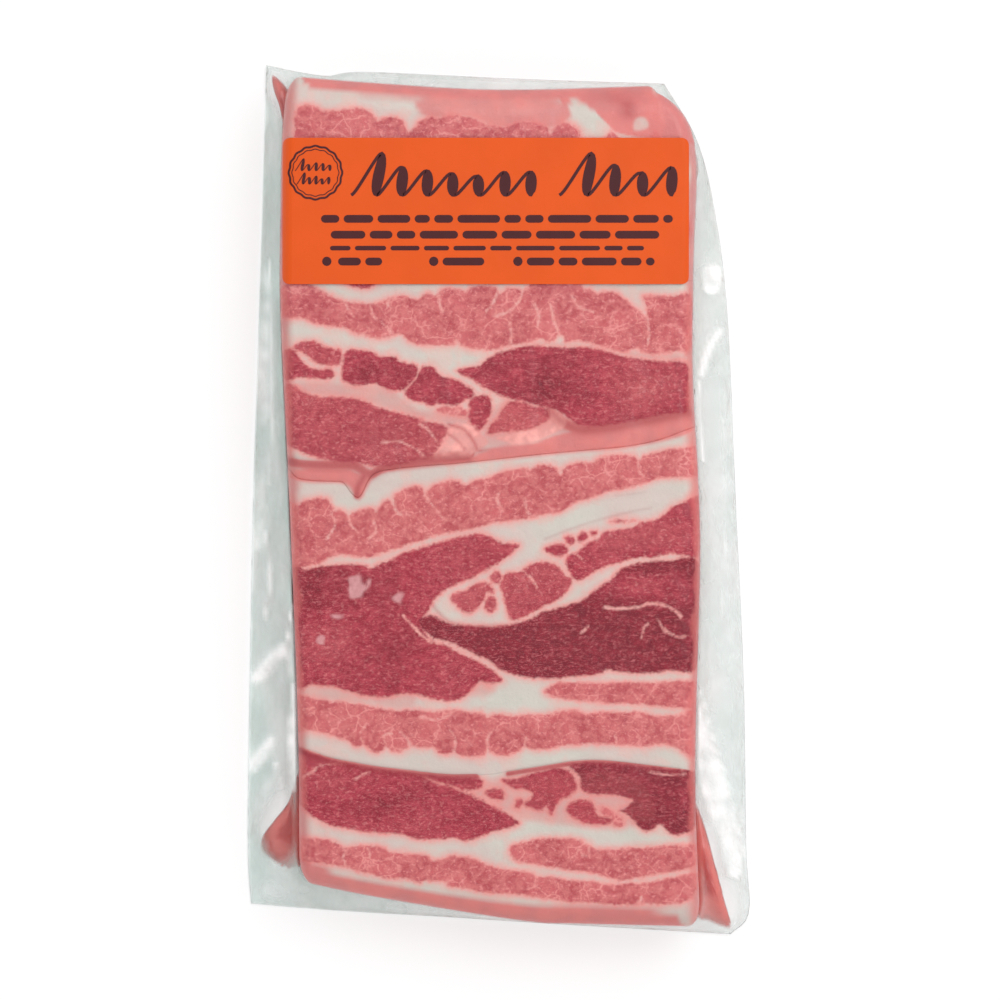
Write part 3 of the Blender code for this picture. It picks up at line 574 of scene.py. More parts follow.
def near_line(line, x, y, closed=False):
    """distance_to, worked out only for the places close to the line."""
    distance = np.full(x.shape, REACH)
    inside = np.zeros(x.shape, bool)
    low, high = line.min(0) - REACH, line.max(0) + REACH
    close = (x > low[0]) & (x < high[0]) & (y > low[1]) & (y < high[1])
    distance[close], inside[close] = distance_to(line, x[close], y[close], closed)
    return distance, inside


def depth_in(outline, x, y):
    """How deep inside a smooth outline each place lies. Places outside get a negative depth."""
    distance, inside = near_line(smooth_curve(outline, closed=True, steps=4), x, y, closed=True)
    return np.where(inside, distance, -distance)


def away_from(line, x, y):
    """How far each place is from a smooth open line."""
    distance, _ = near_line(smooth_curve(line), x, y)
    return distance


def patch(outline, soft, x, y):
    """1 inside a smooth outline and 0 outside it, with an edge that is soft over a few millimetres."""
    return step(-soft, soft, depth_in(outline, x, y))


def spot(x, y, centre_x, centre_y, radius_x, radius_y, turn=0.0):
    """1 at the centre of a soft oval spot, and close to 0 beyond its radii."""
    c, s = math.cos(math.radians(turn)), math.sin(math.radians(turn))
    u = ((x - centre_x) * c + (y - centre_y) * s) / radius_x
    v = ((y - centre_y) * c - (x - centre_x) * s) / radius_y
    return np.exp(-(u * u + v * v) * 1.2)


def waves(x, y, length, seed):
    """Smooth random ups and downs between about -1 and 1, with bumps about one length across."""
    random = np.random.default_rng(seed)
    total = np.zeros(np.shape(x))
    for _ in range(9):
        angle, phase = random.uniform(0, 2 * math.pi, 2)
        k = 2 * math.pi / (length * random.uniform(0.8, 2.2))
        total += np.sin(k * (x * math.cos(angle) + y * math.sin(angle)) + phase)
    return total / 4


def stations(length, first_round, last_round, spacing):
    """Shares of a length, closer together over its two rounded ends."""
    rise = 1 - np.cos(np.linspace(0, math.pi / 2, ROUND_LINES))[:-1]
    flat_length = length - first_round - last_round
    flat = first_round + np.linspace(0, flat_length, int(flat_length / spacing) + 2)
    return np.concatenate((first_round * rise, flat, (length - last_round * rise)[::-1])) / length


def place(s, t, sides):
    """The spot between four sides at share s from left to right and share t from near to far."""
    left, right, near, far = sides
    x, y = left(0) + (right(0) - left(0)) * s, near(0) + (far(0) - near(0)) * t
    for _ in range(6):
        x = left(y) + (right(y) - left(y)) * s
        y = near(x) + (far(x) - near(x)) * t
    return x, y


def edge_shares(x, y):
    """How far into the rounding of a long edge and of an end each place is, from 0 on the flat to 1."""
    across = 1 - np.minimum(x - LEFT(y), RIGHT(y) - x) / SIDE_ROUND
    lengthways = 1 - np.minimum(y - NEAR(x), FAR(x) - y) / END_ROUND
    return np.clip(across, 0, 1), np.clip(lengthways, 0, 1)


def groove(distance, width, depth):
    """The drop of a rounded edge, at each distance from it."""
    share = np.clip(1 - distance / width, 0, 1)
    return depth * (1 - np.sqrt(1 - share ** 2))


def slab_height(x, y):
    """The height of the slab's top face, with no joints."""
    a, b = edge_shares(x, y)
    return TOP - EDGE_DROP * (1 - np.sqrt(1 - np.minimum(a * a + b * b, 1)))


def joint_drop(x, y, share=1.0):
    """How far the top dips into the joints between the strips."""
    first, second, third = (joint(x) - y for joint in JOINTS)
    far_side = np.where(second < 0, -second, REACH)
    near_side = np.where(second >= 0, second, REACH)
    fold = groove(far_side, *FOLD_FAR_SIDE) + groove(near_side, *FOLD_NEAR_SIDE)
    return share * (groove(np.abs(first), *FIRST_GROOVE) + fold + groove(np.abs(third), *THIRD_GROOVE))


def relief(x, y):
    """Gentle unevenness of the pressed meat."""
    return 0.16 * waves(x, y, 13, 4) + 0.05 * waves(x, y, 4, 5)


def rounded_corner(x, y):
    """Places pulled in where a long edge meets an end, so that the corner is round."""
    a, b = edge_shares(x, y)
    pull = 1 - np.maximum(a, b) / np.maximum(np.hypot(a, b), 1e-6)
    inward_x = np.where(x < 0, 1, -1)
    inward_y = np.where(y < 0, 1, -1)
    return x + inward_x * SIDE_ROUND * a * pull, y + inward_y * END_ROUND * b * pull


def grid_line(coordinate, lines):
    """The number of the grid line that a coordinate between -1 and 1 is on."""
    return round((coordinate + 1) / 2 * lines)


def grid_with_rings(s_stations, t_stations, ring_count):
    """A bmesh grid with rings of faces hung from its border, and a last face to close it.

    Its layers hold each vertex's two shares and the number of its ring."""
    bm = bmesh.new()
    s_layer, t_layer, ring_layer = (bm.verts.layers.float.new(name) for name in ("s", "t", "ring"))
    columns, rows = len(s_stations) - 1, len(t_stations) - 1
    bmesh.ops.create_grid(bm, x_segments=columns, y_segments=rows, size=1)
    for vert in bm.verts:
        vert[s_layer] = s_stations[grid_line(vert.co.x, columns)]
        vert[t_layer] = t_stations[grid_line(vert.co.y, rows)]
    for ring in range(1, ring_count + 1):
        border = [edge for edge in bm.edges if edge.is_boundary]
        made = bmesh.ops.extrude_edge_only(bm, edges=border)["geom"]
        for vert in made:
            if isinstance(vert, bmesh.types.BMVert):
                vert[ring_layer] = ring
                vert.co.z = -ring
    border = [edge for edge in bm.edges if edge.is_boundary]
    bmesh.ops.contextual_create(bm, geom=border)
    return bm


def read_layers(bm):
    """The shares and the ring number of every vertex, as arrays."""
    layers = [bm.verts.layers.float[name] for name in ("s", "t", "ring")]
    values = np.array([[vert[layer] for layer in layers] for vert in bm.verts])
    return values[:, 0], values[:, 1], np.rint(values[:, 2]).astype(int)


def finish_piece(bm, name, x, y, z, material, looks):
    """Turns a bmesh into an object, with its vertices at the given places in millimetres."""
    for vert, co in zip(bm.verts, np.column_stack((x, y, z)) * MM):
        vert.co = co
    bmesh.ops.recalc_face_normals(bm, faces=bm.faces)
    return mesh_object(bm, name, material, looks)


def mesh_object(bm, name, material, looks=None, smooth=True):
    """Links a bmesh to the scene as an object that moves with the pack."""
    mesh = bpy.data.meshes.new(name)
    bm.to_mesh(mesh)
    bm.free()
    for layer in ("s", "t", "ring"):
        if layer in mesh.attributes:
            mesh.attributes.remove(mesh.attributes[layer])
    for look, values in (looks or {}).items():
        mesh.attributes.new(look, "FLOAT", "POINT").data.foreach_set("value", np.asarray(values, np.float32))
    mesh.polygons.foreach_set("use_smooth", [smooth] * len(mesh.polygons))
    mesh.materials.append(material)
    piece = bpy.data.objects.new(name, mesh)
    bpy.context.scene.collection.objects.link(piece)
    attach(piece, "root")
    return piece


class Number:
    """A shader socket that can be used like a number."""

    def __init__(self, shader, socket):
        self.shader, self.socket = shader, socket

    def math(self, operation, *values, clamp=False):
        node = self.shader.node("ShaderNodeMath", {"operation": operation, "use_clamp": clamp},
                                dict(enumerate(values)))
        return Number(self.shader, node.outputs[0])

    def __add__(self, other):
        return self.math("ADD", self, other)

    __radd__ = __add__

    def __sub__(self, other):
        return self.math("SUBTRACT", self, other)

    def __rsub__(self, other):
        return self.math("SUBTRACT", other, self)

    def __mul__(self, other):
        return self.math("MULTIPLY", self, other)

    def __truediv__(self, other):
        return self.math("DIVIDE", self, other)

    def clamped(self):
        return self.math("ADD", self, 0.0, clamp=True)

    def rise(self, low, high):
        """0 below low, 1 above high, and a smooth rise between them. A high below low makes it fall."""
        node = self.shader.node("ShaderNodeMapRange", {"interpolation_type": "SMOOTHSTEP"},
                                {"Value": self, "From Min": low, "From Max": high})
        return Number(self.shader, node.outputs["Result"])


class Shader:
    """A material, or a world, being put together from nodes."""

    def __init__(self, name, world=False):
        self.material = (bpy.data.worlds if world else bpy.data.materials).new(name)
        self.material.use_nodes = True
        self.tree = self.material.node_tree
        self.tree.nodes.clear()

    def node(self, kind, settings=None, inputs=None):
        """Adds a node, sets it up, and gives its sockets values or links."""
        node = self.tree.nodes.new(kind)
        for setting, value in (settings or {}).items():
            setattr(node, setting, value)
        for socket, value in (inputs or {}).items():
            if isinstance(value, Number):
                value = value.socket
            if isinstance(value, bpy.types.NodeSocket):
                self.tree.links.new(value, node.inputs[socket])
            else:
                node.inputs[socket].default_value = value
        return node

    def attribute(self, name):
        return Number(self, self.node("ShaderNodeAttribute", {"attribute_name": name}).outputs["Fac"])

    def places(self, scale=(1.0, 1.0, 1.0)):
        """Object coordinates in millimetres, times a scale."""
        coordinates = self.node("ShaderNodeTexCoord").outputs["Object"]
        factors = tuple(value / MM for value in scale)
        scaled = self.node("ShaderNodeVectorMath", {"operation": "MULTIPLY"}, {0: coordinates, 1: factors})
        return scaled.outputs[0]

    def noise(self, size, detail=2.0, stretch=(1.0, 1.0, 1.0), roughness=0.5, distortion=0.0):
        """Noise between about 0 and 1 whose bumps are about the given size in millimetres."""
        node = self.node("ShaderNodeTexNoise", inputs={
            "Vector": self.places(stretch), "Scale": 1 / size, "Detail": detail, "Roughness": roughness,
            "Distortion": distortion})
        return Number(self, node.outputs["Fac"])

    def mix(self, factor, first, second):
        """A colour between two others."""
        node = self.node("ShaderNodeMix", {"data_type": "RGBA", "clamp_factor": True},
                         {0: factor, 6: first, 7: second})
        return node.outputs[2]

    def bump(self, height, distance):
        """A normal bumped by a height; distance is in millimetres."""
        return self.node("ShaderNodeBump", inputs={
            "Strength": 1.0, "Distance": distance * MM, "Height": height}).outputs["Normal"]

    def principled(self, **sockets):
        return self.node("ShaderNodeBsdfPrincipled", inputs={
            name.replace("_", " "): value for name, value in sockets.items()}).outputs[0]

    def seen_directly(self):
        """1 for what the camera, gloss and glass show, and 0 for what only gives light."""
        path = self.node("ShaderNodeLightPath").outputs
        camera, glossy, glass = (
            Number(self, path[ray]) for ray in ("Is Camera Ray", "Is Glossy Ray", "Is Transmission Ray"))
        return (camera + glossy + glass).clamped()

    def mix_shader(self, factor, first, second):
        return self.node("ShaderNodeMixShader", inputs={0: factor, 1: first, 2: second}).outputs[0]

    def finished(self, surface):
        self.node("ShaderNodeOutputMaterial", inputs={"Surface": surface})
        return self.material


def meat_material(settings):
    """Raw belly: lean with fibres and sinews, pale fat with a pink rim, and rosy rind and ends."""
    shader = Shader("raw_belly")
    wobble = (shader.noise(2.6, 4.0, roughness=0.65) - 0.5) * 1.2 + (shader.noise(0.8, 2.0) - 0.5) * 0.9
    depth = shader.attribute("depth") + wobble
    tone, blush, stain_and_shade, cream, pale = (
        shader.attribute(name) for name in ("tone", "blush", "stain_and_shade", "cream", "pale"))
    broad = shader.noise(22, 2.0)
    patchy = shader.noise(5.5, 3.0)
    mottle = shader.noise(1.9, 3.0, roughness=0.6)
    grain = shader.noise(0.62, 2.0, roughness=0.6)
    streaks = shader.noise(0.8, 3.0, stretch=(0.36, 1.0, 1.0), roughness=0.6, distortion=1.5)
    tone = tone + (broad - 0.5) * 0.7 * tone.rise(0.2, 0.6)

    core = shader.mix(broad.rise(0.4, 0.6), colour(209, 194, 187), colour(206, 201, 192))
    rim = ((depth.rise(-2.4, -0.4) * 0.35 + depth.rise(-1.1, 0.0) * 0.45) * (0.6 + mottle * 0.8)).clamped()
    fat = shader.mix(rim, core, colour(*settings.rim_shade))
    fat = shader.mix(patchy.rise(0.52, 0.66) * 0.3, fat, colour(232, 176, 168))
    rosy = shader.mix(patchy.rise(0.35, 0.65), colour(*settings.rind_shade), colour(222, 129, 125))
    fat = shader.mix((blush + (patchy - 0.5) * 0.3 * blush).clamped(), fat, rosy)
    # Stains, and painted shade in creases, turn the fat rosy.
    fat = shader.mix(stain_and_shade.rise(0.22, 0.45) * 0.9, fat, rosy)
    folds = (patchy * 0.7 + mottle * 0.3).rise(0.42, 0.6)
    creamy = shader.mix(folds, colour(234, 148, 143), colour(250, 180, 171))
    fat = shader.mix(cream * (0.6 + folds * 0.4), fat, creamy)

    cells = shader.node("ShaderNodeTexVoronoi", {"feature": "DISTANCE_TO_EDGE"}, {
        "Vector": warped(shader, 1.6, 3.0, (1.0, 1.15, 0.6)), "Scale": 1 / 5.5})
    septa = Number(shader, cells.outputs["Distance"]).rise(0.06, 0.0) * patchy.rise(0.42, 0.6)
    pale_lean = shader.mix(patchy.rise(0.38, 0.62), colour(186, 80, 87), colour(205, 102, 106))
    pale_lean = shader.mix(mottle.rise(0.4, 0.62) * 0.6, pale_lean, colour(218, 128, 126))
    pale_lean = shader.mix((septa * (0.35 + grain * 0.5)).clamped(), pale_lean, colour(236, 160, 154))
    dark_lean = shader.mix(
        (mottle * 0.5 + streaks * 0.5).rise(0.4, 0.6), colour(156, 34, 55), colour(184, 62, 78))
    darkest = shader.mix(
        (mottle * 0.4 + streaks * 0.6).rise(0.4, 0.62), colour(122, 7, 34), colour(151, 28, 50))
    lean = shader.mix((tone / DARK).clamped(), pale_lean, dark_lean)
    lean = shader.mix(((tone - DARK) * 2.6 + (patchy - 0.5) * 1.2 * tone).clamped(), lean, darkest)
    fibres = streaks.rise(0.52, 0.64) * grain.rise(0.38, 0.6) * (0.1 + tone * 0.16)
    lean = shader.mix(fibres.clamped(), lean, colour(226, 140, 142))
    flecks = shader.noise(0.85, 2.0, stretch=(0.8, 1.0, 1.0)).rise(0.57, 0.66)
    lean = shader.mix(flecks * (0.5 - tone * 0.28).clamped(), lean, colour(232, 152, 151))
    lean = shader.mix(grain.rise(0.5, 0.3) * 0.18, lean, colour(134, 24, 46))
    lean = shader.mix(blush.rise(0.35, 1.0) * 0.75, lean, colour(226, 120, 116))
    lean = shader.mix((pale * (0.5 + mottle * 0.7)).clamped(), lean, colour(216, 158, 160))

    surface = shader.mix(depth.rise(-0.4, 0.5), fat, lean)
    # Dark red over stains and over the painted shade in creases.
    surface = shader.mix((stain_and_shade * (0.5 + patchy)).clamped(), surface, colour(154, 36, 52))
    normal = shader.bump(patchy * 0.5 + grain * 0.15 + mottle * 0.3 + depth.rise(-0.5, 0.5) * 0.15, 0.6)
    return shader.finished(shader.principled(
        Base_Color=surface, Roughness=0.5, Normal=normal, Specular_IOR_Level=0.2))


def warped(shader, amount, size, stretch=(1.0, 1.0, 1.0)):
    """Object coordinates in millimetres, pushed about by noise."""
    places = shader.places(stretch)
    noise = shader.node("ShaderNodeTexNoise", inputs={"Vector": places, "Scale": 1 / size, "Detail": 2.0})
    centred = shader.node("ShaderNodeVectorMath", {"operation": "SUBTRACT"},
                          {0: noise.outputs["Color"], 1: (0.5, 0.5, 0.5)}).outputs[0]
    push = shader.node("ShaderNodeVectorMath", {"operation": "SCALE"}, {0: centred, "Scale": 2 * amount})
    moved = shader.node("ShaderNodeVectorMath", {"operation": "ADD"}, {0: places, 1: push.outputs[0]})
    return moved.outputs[0]


# How far the bands of fat and lean drift lengthways for each millimetre down, and the share of a sinew's
# width that is plain fat on each side of its line.
BAND_DRIFT = 0.06
SINEW_SHARE = 0.34


def meat_looks(muscles, x, y, z):
    """What the meat is at each place: how deep in the lean, how dark, how rosy, stained or painted with
    crease shade, creamy and pale.
    """
    drop = TOP - z
    y = y - BAND_DRIFT * drop
    depth = np.full(x.shape, -REACH)
    tone = np.zeros(x.shape)
    for darkness, outline in muscles:
        inside = depth_in(outline, x, y)
        tone = np.where(inside > depth, darkness, tone)
        depth = np.maximum(depth, inside)
    for change, *oval in TONE_SPOTS:
        tone = tone + change * spot(x, y, *oval)
    for width, line in SINEWS:
        away = away_from(line, x, y)
        depth = np.where(depth > -0.5, np.minimum(depth, away - width * SINEW_SHARE), depth)
    pale = np.zeros(x.shape)
    for centre_x, centre_y, radius_x, radius_y in FAT_DOTS:
        away = (np.hypot((x - centre_x) / radius_x, (y - centre_y) / radius_y) - 1) * min(radius_x, radius_y)
        pale = np.maximum(pale, step(0.35, -0.35, away + 0.5 * waves(x, y, 2.2, 12)))
    blush = np.zeros(x.shape)
    for strength, soft, outline in ROSY_PATCHES:
        blush = np.maximum(blush, strength * patch(outline, soft, x, y))
    for strength, soft, outline in PALE_PATCHES:
        blush = blush * (1 - strength * patch(outline, soft, x, y))
    side = np.minimum(x - LEFT(y), RIGHT(y) - x)
    reach = 3.6 + 1.4 * waves(x * 0.2, y, 7, 8)
    blush = np.maximum(blush, 0.8 * step(reach, 0.8, side))
    blush = np.maximum(blush, 0.5 * step(4, 14, drop))
    stain_and_shade = np.zeros(x.shape)
    for strength, *oval in STAINS:
        stain_and_shade = np.maximum(stain_and_shade, strength * spot(x, y, *oval))
    # Dark red lines, partly painted shade in creases and partly stains.
    for strength, width, line in STAIN_AND_SHADE_LINES:
        stain_and_shade = np.maximum(stain_and_shade, strength * np.exp(-(away_from(line, x, y) / width) ** 2))
    cream = np.zeros(x.shape)
    for strength, outline in CREAM_PATCHES:
        cream = np.maximum(cream, strength * patch(outline, 0.4, x, y))
    return {"depth": depth, "tone": tone, "blush": blush, "stain_and_shade": stain_and_shade, "cream": cream, "pale": pale}


# Rings down a strip's wall: share of the height, and how far they're drawn in.
STRIP_RINGS = (
    (0.1, 0.0), (0.2, 0.0), (0.32, 0.0), (0.44, 0.0), (0.56, 0.0), (0.68, 0.0), (0.8, 0.05), (0.9, 0.35),
    (0.97, 1.1), (1.0, 2.4))

# The gap between two strips, in millimetres.
STRIP_GAP = 0.015


def make_strip(name, muscles, near, far, near_round, far_round, material, spacing):
    """One belly strip: a flat slice with rounded edges, between two joints or between a joint and an end."""
    bm = grid_with_rings(stations(SLAB_WIDTH, SIDE_ROUND, SIDE_ROUND, spacing),
                         stations(far(0) - near(0), near_round, far_round, spacing), len(STRIP_RINGS))
    s, t, ring = read_layers(bm)
    near_gap = 0 if near is NEAR else STRIP_GAP / 2
    far_gap = 0 if far is FAR else STRIP_GAP / 2
    sides = (LEFT, RIGHT, lambda x: near(x) + near_gap, lambda x: far(x) - far_gap)
    x, y = rounded_corner(*place(s, t, sides))
    top = slab_height(x, y) - joint_drop(x, y) + relief(x, y)
    shares = np.array([0.0] + [share for share, _ in STRIP_RINGS])[ring]
    inset = np.array([0.0] + [pull for _, pull in STRIP_RINGS])[ring]
    z = top + (BASE - top) * shares
    looks = meat_looks(muscles, x, y, z)
    middle = (y.min() + y.max()) / 2
    x = x - np.sign(x) * inset * ((s <= 0) | (s >= 1))
    y = y - np.sign(y - middle) * inset * ((t <= 0) | (t >= 1))
    piece = finish_piece(bm, name, x, y, z, material, looks)
    return piece


class StripSettings(bpy.types.PropertyGroup):
    """The belly strips."""
    spacing: FloatProperty(name="Detail spacing", description="Distance between grid lines, in millimetres",
                           default=0.45, min=0.3)
    rim_shade: FloatVectorProperty(
        name="Rim shade", description="Pink of the fat beside the lean, from 0 to 255",
        default=(236, 150, 145), size=3)
    rind_shade: FloatVectorProperty(
        name="Rind shade", description="Rosy rind and ends, from 0 to 255",
        default=(211, 118, 117), size=3)


class BELLY_OT_strips(bpy.types.Operator):
    """Models the four belly strips that lie side by side"""
    bl_idname = "belly.strips"
    bl_label = "Belly strips"

    def execute(self, context):
        settings = context.scene.belly_strips
        material = meat_material(settings)
        first, second, third = JOINTS
        strips = (
            ("strip_far", MUSCLES_1, first, FAR, 1.0, END_ROUND),
            ("strip_upper_middle", MUSCLES_2, second, first, 3.4, 1.0),
            ("strip_lower_middle", MUSCLES_3, third, second, 0.8, 1.4),
            ("strip_near", MUSCLES_4, NEAR, third, END_ROUND, 0.8))
        spacing = settings.spacing * 1
        for name, muscles, near, far, near_round, far_round in strips:
            make_strip(name, muscles, near, far, near_round, far_round, material, spacing)
        return {"FINISHED"}


def outside_share(x, y):
    """How far across the film margin each place is: 0 on the slab, 1 on the film's outer edge."""
    share = np.zeros(np.shape(x))
    for edge, film, at, across in zip(SLAB_SIDES, FILM_SIDES, (y, y, x, x), (x, x, y, y)):
        share = np.maximum(share, (across - edge(at)) / (film(at) - edge(at)))
    return np.clip(share, 0, 1)


def margin_height(x, y, share):
    """The height of the film's top face over the margin."""
    z = RIM_HEIGHT + (ROOT_HEIGHT - RIM_HEIGHT) * (1 - share) ** 1.7
    fade = np.sin(math.pi * np.clip(share, 0, 1))
    for height, *oval in EARS:
        z = z + height * spot(x, y, *oval) * np.maximum(fade, 0.25)
    z = z + fade * (0.55 * waves(x, y * 0.45, 11, 21) + 0.28 * waves(x + y * 0.4, y, 5, 22))
    for brightness, width, line in CREASES_WITH_HIGHLIGHTS:
        ridge = np.exp(-(away_from(line, x, y) / max(width, 0.8)) ** 2)
        z = z + 0.8 * brightness * ridge * np.maximum(fade, 0.3)
    return z


def film_looks(x, y, share, wall):
    """How cloudy the film is at each place, where it has painted shade, and where it has painted highlights.
    """
    on_slab = share <= 0
    side = np.minimum(x - LEFT(y), RIGHT(y) - x)
    haze = np.where(on_slab, 0.01, 0.42 + 0.13 * waves(x, y, 9, 31))
    haze = haze + np.where(on_slab, 0, 0.12 * step(0.75, 1.0, share))
    left = step(0, -20, x)
    haze = np.where(on_slab, haze, haze * (0.5 + 0.85 * left))
    ends = np.maximum(step(-93, -98, y), step(98, 102, y))
    haze = np.where(on_slab, haze, haze * (1 - 0.45 * ends))
    swollen = np.zeros(x.shape)
    for _, *oval in EARS:
        swollen = np.maximum(swollen, np.minimum(1, 1.8 * spot(x, y, *oval)))
    haze = haze * (1 - 0.93 * swollen)
    # Painted highlights: white along the creases and in the glare patches, faint over the right side, along
    # the slab's very edges and round the film's rim.
    painted_highlight = np.zeros(x.shape)
    for brightness, width, line in CREASES_WITH_HIGHLIGHTS:
        painted_highlight = np.maximum(painted_highlight, brightness * np.exp(-(away_from(line, x, y) / (width * 0.6)) ** 2))
    for strength, soft, outline in GLARE_PATCHES:
        glare = strength * (0.8 + 0.3 * waves(x, y, 5, 33)) * patch(outline, soft, x, y)
        painted_highlight = np.maximum(painted_highlight, glare)
    painted_highlight = np.where(on_slab & (side > 0.4), 0, np.maximum(painted_highlight, 0.08 * (1 - left)))
    painted_highlight = np.maximum(painted_highlight, 0.7 * (share > 0.97))
    # Painted shade where the film rises beside the slab's foot, more on the left, and along the slab's right
    # side; darker patches at the far right corner and the near left corner.
    shade = np.where(on_slab, 0, 0.5 * step(0.3, 0.0, share) * left + 0.3 * step(0.2, 0.0, share))
    shade = np.maximum(shade, 0.3 * np.minimum(1, 1.6 * spot(x, y, *RIGHT_SHADE)) * (share > 0))
    cut = step(88, 92, y) * step(38, 42, x)
    shade = np.maximum(shade, np.where(share > 0.35, 0.8 * cut, 0)) * (share < 0.97)
    near_left = spot(x, y, *NEAR_LEFT_SHADE) * np.where(on_slab, 0.5, 1)
    shade = np.maximum(shade, 0.35 * near_left)
    shade, painted_highlight = shade * (1 - swollen), painted_highlight * (1 - 0.6 * swollen)
    haze = np.clip(haze + 0.5 * np.where(on_slab, 0, painted_highlight) + 0.25 * shade + wall * 0.03, 0, 1)
    return {"haze": haze, "painted_highlight": painted_highlight, "shade": np.clip(shade, 0, 1)}


def film_material():
    """Clear film: nearly invisible where it lies tight, cloudy and green-grey where it stands free, with
    painted highlights and painted shade.
    """
    shader = Shader("clear_film")
    haze, painted_highlight, shade = (shader.attribute(name) for name in ("haze", "painted_highlight", "shade"))
    broad = shader.noise(9, 3.0, stretch=(1.0, 0.4, 1.0))
    fine = shader.noise(1.6, 3.0, stretch=(1.0, 0.55, 1.0), distortion=1.0)
    tint = shader.mix(broad.rise(0.35, 0.7), colour(214, 234, 228), colour(240, 250, 247))
    # Painted shade: a darker grey-green where the shade attribute is high.
    tint = shader.mix(shade * 0.8, tint, colour(170, 194, 185))
    # Painted highlights turn the tint white.
    tint = shader.mix(painted_highlight.clamped(), tint, colour(250, 252, 252))
    free = haze.rise(0.06, 0.2)
    normal = shader.bump(broad * 0.9 + fine * 0.3 * free, 1.3)
    gloss = shader.node("ShaderNodeBsdfGlossy", inputs={
        "Color": (1, 1, 1, 1), "Roughness": 0.18, "Normal": normal})
    clear = shader.node("ShaderNodeBsdfTransparent").outputs[0]
    fresnel = shader.node("ShaderNodeFresnel", inputs={"IOR": 1.4, "Normal": normal})
    facing = Number(shader, fresnel.outputs[0])
    shiny = shader.mix_shader((facing * (0.4 + free * 0.7)).clamped(), clear, gloss.outputs[0])
    # A faint glow along the painted highlights: a painted glint.
    glint = shader.mix(painted_highlight.clamped(), (0.0, 0.0, 0.0, 1.0), (1.0, 1.0, 1.0, 1.0))
    cloudy = shader.principled(Base_Color=tint, Roughness=0.35, Specular_IOR_Level=0.4, Normal=normal,
                               Emission_Color=glint, Emission_Strength=0.16)
    patches = haze * (0.55 + broad * 0.9)
    return shader.finished(shader.mix_shader(patches.clamped(), shiny, cloudy))


# Rings of film down the slab's wall: share of the way down, then share of the way across the margin.
FILM_WALL = ((0.25, 0.012), (0.5, 0.02), (0.75, 0.03), (1.0, 0.045))

# Rings of film over the margin: share of the way across.
FILM_MARGIN = (0.1, 0.18, 0.27, 0.36, 0.46, 0.56, 0.66, 0.76, 0.86, 0.94, 1.0)

# Rings of film under the margin, back to the slab: share across the margin, then height, in millimetres.
FILM_UNDER = ((0.985, 0.5), (0.7, 0.4), (0.35, 0.5), (0.06, 1.0), (0.03, 0.35), (-0.06, 0.02))


class FilmSettings(bpy.types.PropertyGroup):
    """The clear film envelope."""
    spacing: FloatProperty(name="Detail spacing", description="Distance between grid lines, in millimetres",
                           default=0.85, min=0.5)


class BELLY_OT_film(bpy.types.Operator):
    """Models the clear film drawn tight over the strips, with its crumpled margin"""
    bl_idname = "belly.film"
    bl_label = "Clear film"

    def execute(self, context):
        spacing = context.scene.belly_film.spacing
        walls, margins = len(FILM_WALL), len(FILM_MARGIN)
        bm = grid_with_rings(stations(SLAB_WIDTH, SIDE_ROUND, SIDE_ROUND, spacing),
                             stations(SLAB_LENGTH, END_ROUND, END_ROUND, spacing),
                             walls + margins + len(FILM_UNDER))
        s, t, ring = read_layers(bm)
        room = (-WALL_CLEARANCE, WALL_CLEARANCE, -WALL_CLEARANCE, WALL_CLEARANCE)
        wrapped = [lambda at, edge=edge, out=out: edge(at) + out for edge, out in zip(SLAB_SIDES, room)]
        slab_x, slab_y = rounded_corner(*place(s, t, wrapped))
        film_x, film_y = place(s, t, FILM_SIDES)
        shares = np.array([0.0] + [across for _, across in FILM_WALL] + list(FILM_MARGIN)
                          + [across for across, _ in FILM_UNDER])[ring]
        x = slab_x + (film_x - slab_x) * shares
        y = slab_y + (film_y - slab_y) * shares
        top = slab_height(x, y) - joint_drop(x, y, FILM_DIP) + relief(x, y) + FILM_CLEARANCE
        margin = margin_height(x, y, shares)
        down = np.array([0.0] + [fall for fall, _ in FILM_WALL])[np.minimum(ring, walls)]
        z = np.where(ring <= walls, top + (margin - top) * down, margin)
        under = ring > walls + margins
        heights = np.array([0.0] * (1 + walls + margins) + [height for _, height in FILM_UNDER])[ring]
        z = np.where(under, np.minimum(heights, margin - FILM_THICKNESS), z)
        on_margin = np.where(ring > walls, np.clip(shares, 0, 1), 0)
        on_wall = (ring > 0) & (ring <= walls)
        looks = film_looks(x, y, on_margin, on_wall)
        film = finish_piece(bm, "clear_film", x, y, z, film_material(), looks)
        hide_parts("pouch")
        return {"FINISHED"}


# Juice gathered in the corners of the film: name, strength, then outline.
JUICES = (
    ("juice_near_left", 1.0, (
        (-50.2, -67.6), (-51.4, -71), (-53, -75.4), (-56.6, -80), (-59.6, -84.2), (-59.8, -87.6),
        (-57.4, -89.8), (-54.4, -91.6), (-51.6, -92), (-49.3, -90.4), (-48.9, -82), (-49.3, -74))),
    ("juice_near_right", 1.0, (
        (48.6, -75.5), (50.4, -79), (52.2, -85), (54, -92), (56, -99.5), (57.8, -106.6), (55.6, -106.9),
        (52, -105.4), (48.9, -104), (48.6, -96), (48.4, -86))),
    ("juice_far_left", 0.85, (
        (-56.9, 106.4), (-56.6, 102.6), (-55.2, 98.6), (-54.4, 94.6), (-53.9, 90), (-52.6, 90.4), (-52, 96),
        (-52, 100), (-53.6, 103.6))),
    ("juice_far_right", 0.9, ((47, 87.4), (49, 86.4), (49.6, 83), (49.2, 80), (47.8, 78), (46.9, 82))),
)


